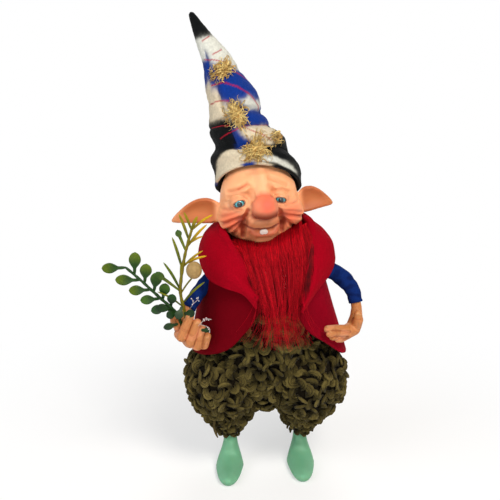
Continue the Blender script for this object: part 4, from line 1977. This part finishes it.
@dataclass
class Greenery:
    """The sprigs, the berry and the white filler in the right hand. Listed places: mm from the wrist."""

    wrist: np.ndarray
    stem_radius: float = 0.0013
    berry_radius: float = 0.0055

    # Directions that no stem takes
    STEM_HINT = (0.3, 1.0, 0.1)
    HINT = (0.1, 1.0, 0.1)
    LEAFY_STEM = (
        (-3.8, -9.2, -11.8), (-6.2, -10.8, -2), (-10.3, -14, 5.5), (-15.7, -16, 11.6),
        (-22.4, -19, 19.4), (-30.4, -21, 28.3), (-40.4, -22, 38),
    )
    # Share of the stem, tip and width
    LEAVES = (
        (1, (-57.2, -23, 37.6), 7.2), (0.9, (-33.9, -22, 48.8), 8.2), (0.79, (-26.3, -22, 40.5), 8.2),
        (0.66, (-19.2, -21, 33.8), 8), (0.52, (-13.8, -19, 25.2), 7.6),
        (0.36, (-9.2, -19.5, 17.2), 6.6), (0.84, (-47.9, -24, 29.6), 7.4), (0.7, (-39.1, -22, 21.2), 7),
        (0.55, (-31.4, -21, 13.7), 6.6), (0.38, (-24.4, -19, 5), 6.6),
    )
    NEEDLE_STEM = (
        (0.6, -9.2, -13.5), (-1.2, -12, 0), (-3.9, -14, 16.2), (-3.1, -17, 27.7), (-1.3, -19, 38.8),
        (0.4, -20, 47.1), (2.3, -21, 54.7), (4.3, -22, 61.5), (5.4, -22, 65.1),
    )
    # Share of the stem, tip from the wrist, half width in mm and how yellow it is
    NEEDLES = (
        (0.97, (0.3, -22, 77.2), 0.9, 0.35), (0.99, (9.4, -23, 74.6), 1.3, 0.45),
        (0.97, (19.6, -20, 74.9), 0.9, 0.9), (0.8, (-3, -23, 76), 1.1, 0.3),
        (0.7, (15.7, -20, 68.1), 0.9, 0.8), (0.74, (12.5, -17, 59), 0.7, 0.8),
        (0.46, (-8, -23, 59.9), 1.1, 0.1), (0.5, (15, -19, 45.5), 0.9, 0.9),
        (0.48, (12.5, -17, 48.7), 0.7, 0.6), (0.28, (-14.6, -21, 41.4), 1.1, 0),
        (0.19, (13.2, -16, 25.5), 0.8, 0.1), (0.17, (-19.3, -21, 20.1), 0.7, 0.1),
        (0.36, (-2.6, -20, 40.5), 0.6, 0.2),
    )
    # The middle of the stalk, and the berry
    BERRY_STALK = ((1.1, -17.5, 24.7), (6.4, -21.5, 36))
    # Colour near the petiole and at the tip: high on the twig, midway and low
    LEAF_TONES = (("#1C3C0A", "#4C5E04"), ("#16360A", "#37580C"), ("#0E270A", "#1A3E10"))
    # As the leaves
    BUDS = (
        (0.66, (-4.5, -22, 64.5), 4.6), (0.27, (-19, -25.5, 35), 4.8),
    )
    # Base, tip and width
    SMALL_LEAVES = (
        ((-6.2, -14, 3), (-13.5, -20, 1.5), 6), ((-1, -15, 2), (6, -21, 4.5), 5.8),
        ((-6, -15, -6), (-16, -19, -7.5), 5), ((-3, -16, 7.5), (-6, -21.5, 0), 6.2),
        ((10.5, -18.5, -9.5), (16.5, -20.5, -8.5), 3.6), ((-10, -15, 4.5), (-20, -20, 8.5), 6),
    )
    FILLER = (
        ((3, -15, 6), (5.2, -19, 11), (4.2, -20, 15)), ((5.2, -19, 10.5), (8.5, -20, 14), (9, -20, 16)),
        ((8.5, -19, -6), (11.5, -21, -2), (15, -22, 1)),
        ((10, -20, -4.5), (16, -22, -6), (16.8, -22, -9.5)),
        ((12, -21, -1.5), (13.5, -22, 0.5), (18, -22.5, 0.2)),
    )

    def at(self, place: Sequence[float]) -> np.ndarray:
        """A listed place, or rows of them, in metres about the figure's midline."""
        return np.array(place) * MM + self.wrist

    def on_stem(self, points: Points, share: float) -> np.ndarray:
        """The place at a share of a listed stem."""
        return self.at(curve_through(points, share))

    def rod(
        self,
        rows: Points,
        rings: int,
        radius: np.ndarray | float,
        code: str,
        sides: int = 8,
        hint: Sequence[float] = HINT,
    ) -> bpy.types.Mesh:
        """A rod of one colour through places in metres."""
        path = curve_through(rows, np.linspace(0, 1, rings))[None]
        radii = np.full((1, rings), 1.0) * radius
        return strands("rod", path, radii, plain(code, rings)[None], np.array([hint]), sides)

    def stem(self, points: Points, thin: float, code: str) -> bpy.types.Mesh:
        """A tapering stem through listed points."""
        rings = 40
        wobble = 1 + 0.12 * np.sin(np.arange(rings) * 1.9)
        radius = np.linspace(self.stem_radius, self.stem_radius * thin, rings) * wobble
        return self.rod(self.at(points), rings, radius, code, 10, self.STEM_HINT)

    def leaf(
        self, base: np.ndarray, tip: np.ndarray, width: float, codes: tuple[str, str], petiole: float
    ) -> bpy.types.Mesh:
        """A cupped leaf on a petiole.

        Args:
            base: Where the petiole starts.
            tip: The leaf's tip.
            width: The blade's width in mm.
            codes: Colour near the petiole and at the tip.
            petiole: Share of the length that the petiole takes.

        Returns:
            The painted leaf.
        """
        bm, across, t = grid_form(10, 18)
        across = 2 * across - 1
        width *= MM
        run = tip - base
        length = np.linalg.norm(run)
        side = unit(np.cross(run, (0.0, -1.0, 0.15)))
        out = unit(np.cross(side, run))
        out = out if out[1] < 0 else -out
        blade = np.clip((t - petiole) / (1 - petiole), 0, 1)
        stalk = (0.60 + 0.5 * np.clip(t / petiole, 0, 1)) * MM * (1 - step(blade, 0.5, 0.95))
        swell = np.sin(math.pi * blade**1.40)
        blunt = np.where(blade > 0.61, 0.52, 1.0)
        half = np.maximum(stalk, (width / 2) * np.clip(swell, 0, 1) ** blunt)
        half = np.maximum(half, 0.12 * MM)
        arch = np.sin(math.pi * blade)
        cup = 0.10 * width * across**2 * arch - 0.10 * length * (blade - 0.3) * blade
        rib = 0.45 * MM * (1 - across**2) * arch**0.5
        move(bm, base + run * t[:, None] + side * (across * half)[:, None] + out * (cup + rib)[:, None])
        bmesh.ops.recalc_face_normals(bm, faces=bm.faces)
        bmesh.ops.solidify(bm, geom=bm.faces[:], thickness=0.0009)
        mesh = as_mesh("leaf", bm)
        co = coordinates(mesh)
        share = np.clip((co - base) @ run / (run @ run), 0, 1)
        add_attribute(mesh, "paint", over(plain(codes[0], len(co)), codes[1], step(share, 0.40, 0.95)))
        return mesh

    def needle(self, base: np.ndarray, tip: np.ndarray, half: float, yellow: float) -> bpy.types.Mesh:
        """A slim needle leaf that curves up to its tip."""
        rings = 12
        t = np.linspace(0, 1, rings)
        run = tip - base
        length = np.linalg.norm(run)
        path = (base + run * t[:, None] + np.outer(np.sin(math.pi * t) * 0.06 * length, (0, 0, 1)))[None]
        swell = np.sin(math.pi * np.clip(t * 0.95 + 0.04, 0, 1)) ** 0.8
        radii = (0.40 + 0.64 * half * swell)[None] * MM
        radii[0, -1] = 0.15 * MM
        dark = over(linear("#38480A"), "#7A6A06", yellow)
        light = over(linear("#5A6A0C"), "#C89A04", yellow)
        colours = (dark + (light - dark) * step(t, 0.1, 0.8)[:, None])[None]
        return strands("needle", path, radii, colours, np.array([[0.1, 1.0, 0.2]]), 8, 0.55)

    def leafy_sprig(self) -> bpy.types.Mesh:
        """Box-like twig with spoon leaves in pairs."""
        parts = [self.stem(self.LEAFY_STEM, 0.75, "#1C3A14")]
        for share, tip, width in self.LEAVES:
            codes = self.LEAF_TONES[0 if share > 0.68 else 1 if share > 0.5 else 2]
            parts.append(self.leaf(self.on_stem(self.LEAFY_STEM, share), self.at(tip), width, codes, 0.16))
        for base, tip, width in self.SMALL_LEAVES:
            parts.append(self.leaf(self.at(base), self.at(tip), width, ("#18340F", "#0E270A"), 0.10))
        return joined("leafy_sprig", parts)

    def needle_sprig(self) -> bpy.types.Mesh:
        """Twig with slim yellow-green needles and two buds."""
        parts = [self.stem(self.NEEDLE_STEM, 0.70, "#6E640C")]
        for share, tip, half, yellow in self.NEEDLES:
            parts.append(self.needle(self.on_stem(self.NEEDLE_STEM, share), self.at(tip), half, yellow))
        for share, tip, width in self.BUDS:
            base = self.on_stem(self.NEEDLE_STEM, share)
            parts.append(self.leaf(base, self.at(tip), width, ("#5A6414", "#2E4A12"), 0.60))
        return joined("needle_sprig", parts)

    def berry(self) -> bpy.types.Mesh:
        """A wooden bead on a thin stalk."""
        foot, middle, centre = self.on_stem(self.NEEDLE_STEM, 0.25), *self.at(self.BERRY_STALK)
        bm = ball((0, 0, 0), (self.berry_radius, self.berry_radius, self.berry_radius * 1.12), 40, 30)
        bm.transform(Matrix.Translation(Vector(centre)))
        mesh = as_mesh("berry", bm)
        co = coordinates(mesh)
        grain = speckle(co * (1, 1, 0.25), 1.6 * MM)
        add_attribute(mesh, "paint", over(plain("#9C8050", len(co)), "#866637", 0.3 * (grain + 0.3)))
        rows = (foot, middle, centre - (0, 0, 4 * MM))
        return joined("berry", [mesh, self.rod(rows, 12, 0.6 * MM, "#6B6412")])

    def bud(self, spot: np.ndarray) -> bpy.types.Mesh:
        """One of the filler's dried buds."""
        mesh = as_mesh("bud", ball(spot, (0.42 * MM,) * 3, 8, 6))
        add_attribute(mesh, "paint", plain("#CFC4C2", len(mesh.vertices)))
        return mesh

    def filler(self) -> bpy.types.Mesh:
        """Fine white dried twigs with tiny buds."""
        parts = []
        random = np.random.default_rng(5)
        for line in self.FILLER:
            rows = self.at(line)
            parts.append(self.rod(rows, 10, 0.20 * MM, "#B9AEAA", 6))
            spots = curve_through(rows, np.linspace(0, 1, 10))[4::2] + random.normal(0, 0.6 * MM, (3, 3))
            parts += [self.bud(spot) for spot in spots]
        return joined("filler", parts)

    def build(self) -> None:
        """Models everything that the hand holds."""
        place("leafy_sprig", self.leafy_sprig(), LEAF, "leaf_plastic", ["leafy_sprig"])
        place("needle_sprig", self.needle_sprig(), LEAF, "needle_plastic", ["needle_sprig"])
        place("berry", self.berry(), BERRY_WOOD, "berry_wood", ["berry"])
        place("white_filler", self.filler(), LEAF, "leaf_plastic")


# Stage


@dataclass
class Stage:
    """The floor, the soft lights and the camera, at the photograph's angle."""

    target: tuple[float, float, float] = (-0.012, 0.0, 0.175)
    distance: float = 0.65
    elevation: float = 16.0
    lens: float = 62.8

    # Place, size in metres, strength in watts and colour of each soft light
    LIGHTS = (
        ((0.45, -0.85, 1.20), 0.55, 16.5, "#FFF8F0"),
        ((-0.95, -0.60, 0.80), 0.80, 6.5, "#F8FAFF"),
        ((0.10, -1.25, 0.42), 0.30, 2.6, "#FFFFFF"),
        ((0.15, 0.90, 0.95), 0.70, 5.0, "#FFFFFF"),
    )
    AMBIENT = 0.22
    # Distances in metres from the figure over which the floor turns plain white to the camera
    FADE = (0.06, 0.36)

    def floor(self) -> None:
        """A plain pale floor."""
        bm = bmesh.new()
        bmesh.ops.create_grid(bm, x_segments=1, y_segments=1, size=4)
        floor = bpy.data.objects.new("floor", as_mesh("floor", bm))
        paper = bpy.data.materials.new("pale_paper")
        paper.use_nodes = True
        shader = paper.node_tree.nodes["Principled BSDF"]
        feed(shader, {"Base Color": rgba("#F7F7F6"), "Roughness": 0.95, "Specular IOR Level": 0.0})
        self.fade(paper.node_tree, shader)
        floor.data.materials.append(paper)
        bpy.context.scene.collection.objects.link(floor)

    def seen(self, tree: bpy.types.NodeTree) -> bpy.types.NodeSocket:
        """1 for the camera's rays and for those that gloss or glass sends on, 0 for light."""
        path = add_node(tree, "ShaderNodeLightPath")
        both = path.outputs["Is Camera Ray"]
        for name in ("Is Glossy Ray", "Is Transmission Ray"):
            inputs = {0: both, 1: path.outputs[name]}
            both = add_node(tree, "ShaderNodeMath", inputs, operation="MAXIMUM").outputs[0]
        return both

    def fade(self, tree: bpy.types.NodeTree, paper: bpy.types.Node) -> None:
        """Turns the paper plain white away from the figure, where it is only looked at."""
        place = add_node(tree, "ShaderNodeTexCoord").outputs["Object"]
        far = add_node(tree, "ShaderNodeVectorMath", {0: place, 1: tuple(MIDLINE)}, operation="DISTANCE")
        near, clear = self.FADE
        limits = {"Value": far.outputs["Value"], "From Min": near, "From Max": clear, "To Min": 0.45}
        share = add_node(tree, "ShaderNodeMapRange", limits, interpolation_type="SMOOTHSTEP").outputs[0]
        amount = add_node(tree, "ShaderNodeMath", {0: share, 1: self.seen(tree)}, operation="MULTIPLY")
        white = add_node(tree, "ShaderNodeEmission", {"Color": (1, 1, 1, 1), "Strength": 1.0}).outputs[0]
        inputs = {0: amount.outputs[0], 1: paper.outputs[0], 2: white}
        mixed = add_node(tree, "ShaderNodeMixShader", inputs)
        tree.links.new(mixed.outputs[0], tree.nodes["Material Output"].inputs["Surface"])

    def world(self) -> None:
        """White where the camera, gloss or glass sees it, and plain soft light elsewhere."""
        world = bpy.data.worlds.new("studio")
        bpy.context.scene.world = world
        world.use_nodes = True
        tree = world.node_tree
        back = tree.nodes["Background"]
        limits = {"Value": self.seen(tree), "To Min": self.AMBIENT, "To Max": 1.0}
        strength = add_node(tree, "ShaderNodeMapRange", limits).outputs[0]
        feed(back, {"Color": (1, 1, 1, 1), "Strength": strength})

    def lights(self) -> None:
        """Soft area lights that look at the figure's chest."""
        aim = Vector(self.target) + MIDLINE
        for i, (spot, size, watts, code) in enumerate(self.LIGHTS):
            lamp = bpy.data.lights.new(f"softbox_{i}", "AREA")
            lamp.size = size
            lamp.energy = watts
            lamp.color = tuple(float(v) for v in linear(code))
            holder = bpy.data.objects.new(f"softbox_{i}", lamp)
            holder.location = Vector(spot) + MIDLINE
            holder.rotation_euler = (aim - holder.location).to_track_quat("-Z", "Y").to_euler()
            bpy.context.scene.collection.objects.link(holder)

    def camera(self) -> None:
        """The photograph's viewing angle."""
        lens = bpy.data.cameras.new("camera")
        lens.lens = self.lens
        lens.sensor_width = 36
        holder = bpy.data.objects.new("camera", lens)
        a = math.radians(self.elevation)
        aim = Vector(self.target) + MIDLINE
        holder.location = aim + Vector((0, -math.cos(a), math.sin(a))) * self.distance
        holder.rotation_euler = (aim - holder.location).to_track_quat("-Z", "Y").to_euler()
        bpy.context.scene.collection.objects.link(holder)
        bpy.context.scene.camera = holder

    def build(self) -> None:
        """Sets the stage."""
        self.floor()
        self.world()
        self.lights()
        self.camera()
        bpy.context.scene.view_settings.view_transform = "Standard"


def dress_hidden(nodes: dict[str, bpy.types.Object]) -> None:
    """Gives the pieces inside the figure their own finishes."""
    for name, node in nodes.items():
        if "wire" in name:
            finish = HIDDEN_WIRE
        elif name == "torso":
            finish = HIDDEN_CLOTH
        elif name == "hat_stuffing":
            finish = HIDDEN_WADDING
        else:
            continue
        for slot in node.material_slots:
            slot.material = finish.material()


def main() -> None:
    """Builds the figure's pieces in order, from the head down."""
    logging.basicConfig(level=logging.INFO, format="%(name)s %(message)s")
    for leftover in list(bpy.data.objects):
        bpy.data.objects.remove(leftover)
    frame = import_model()
    stage = Stage()
    stage.build()
    face = Head().build()
    hat = Hat()
    hat.build()
    Ties(hat).build()
    cloth = Vest().build()
    arms = Arms()
    arms.build()
    Beard(face, cloth).build()
    Trousers().build()
    Shoes().build()
    Greenery(arms.wrist(Side.RIGHT)).build()
    dress_hidden(frame["nodes"])


if __name__ == "__main__":
    main()
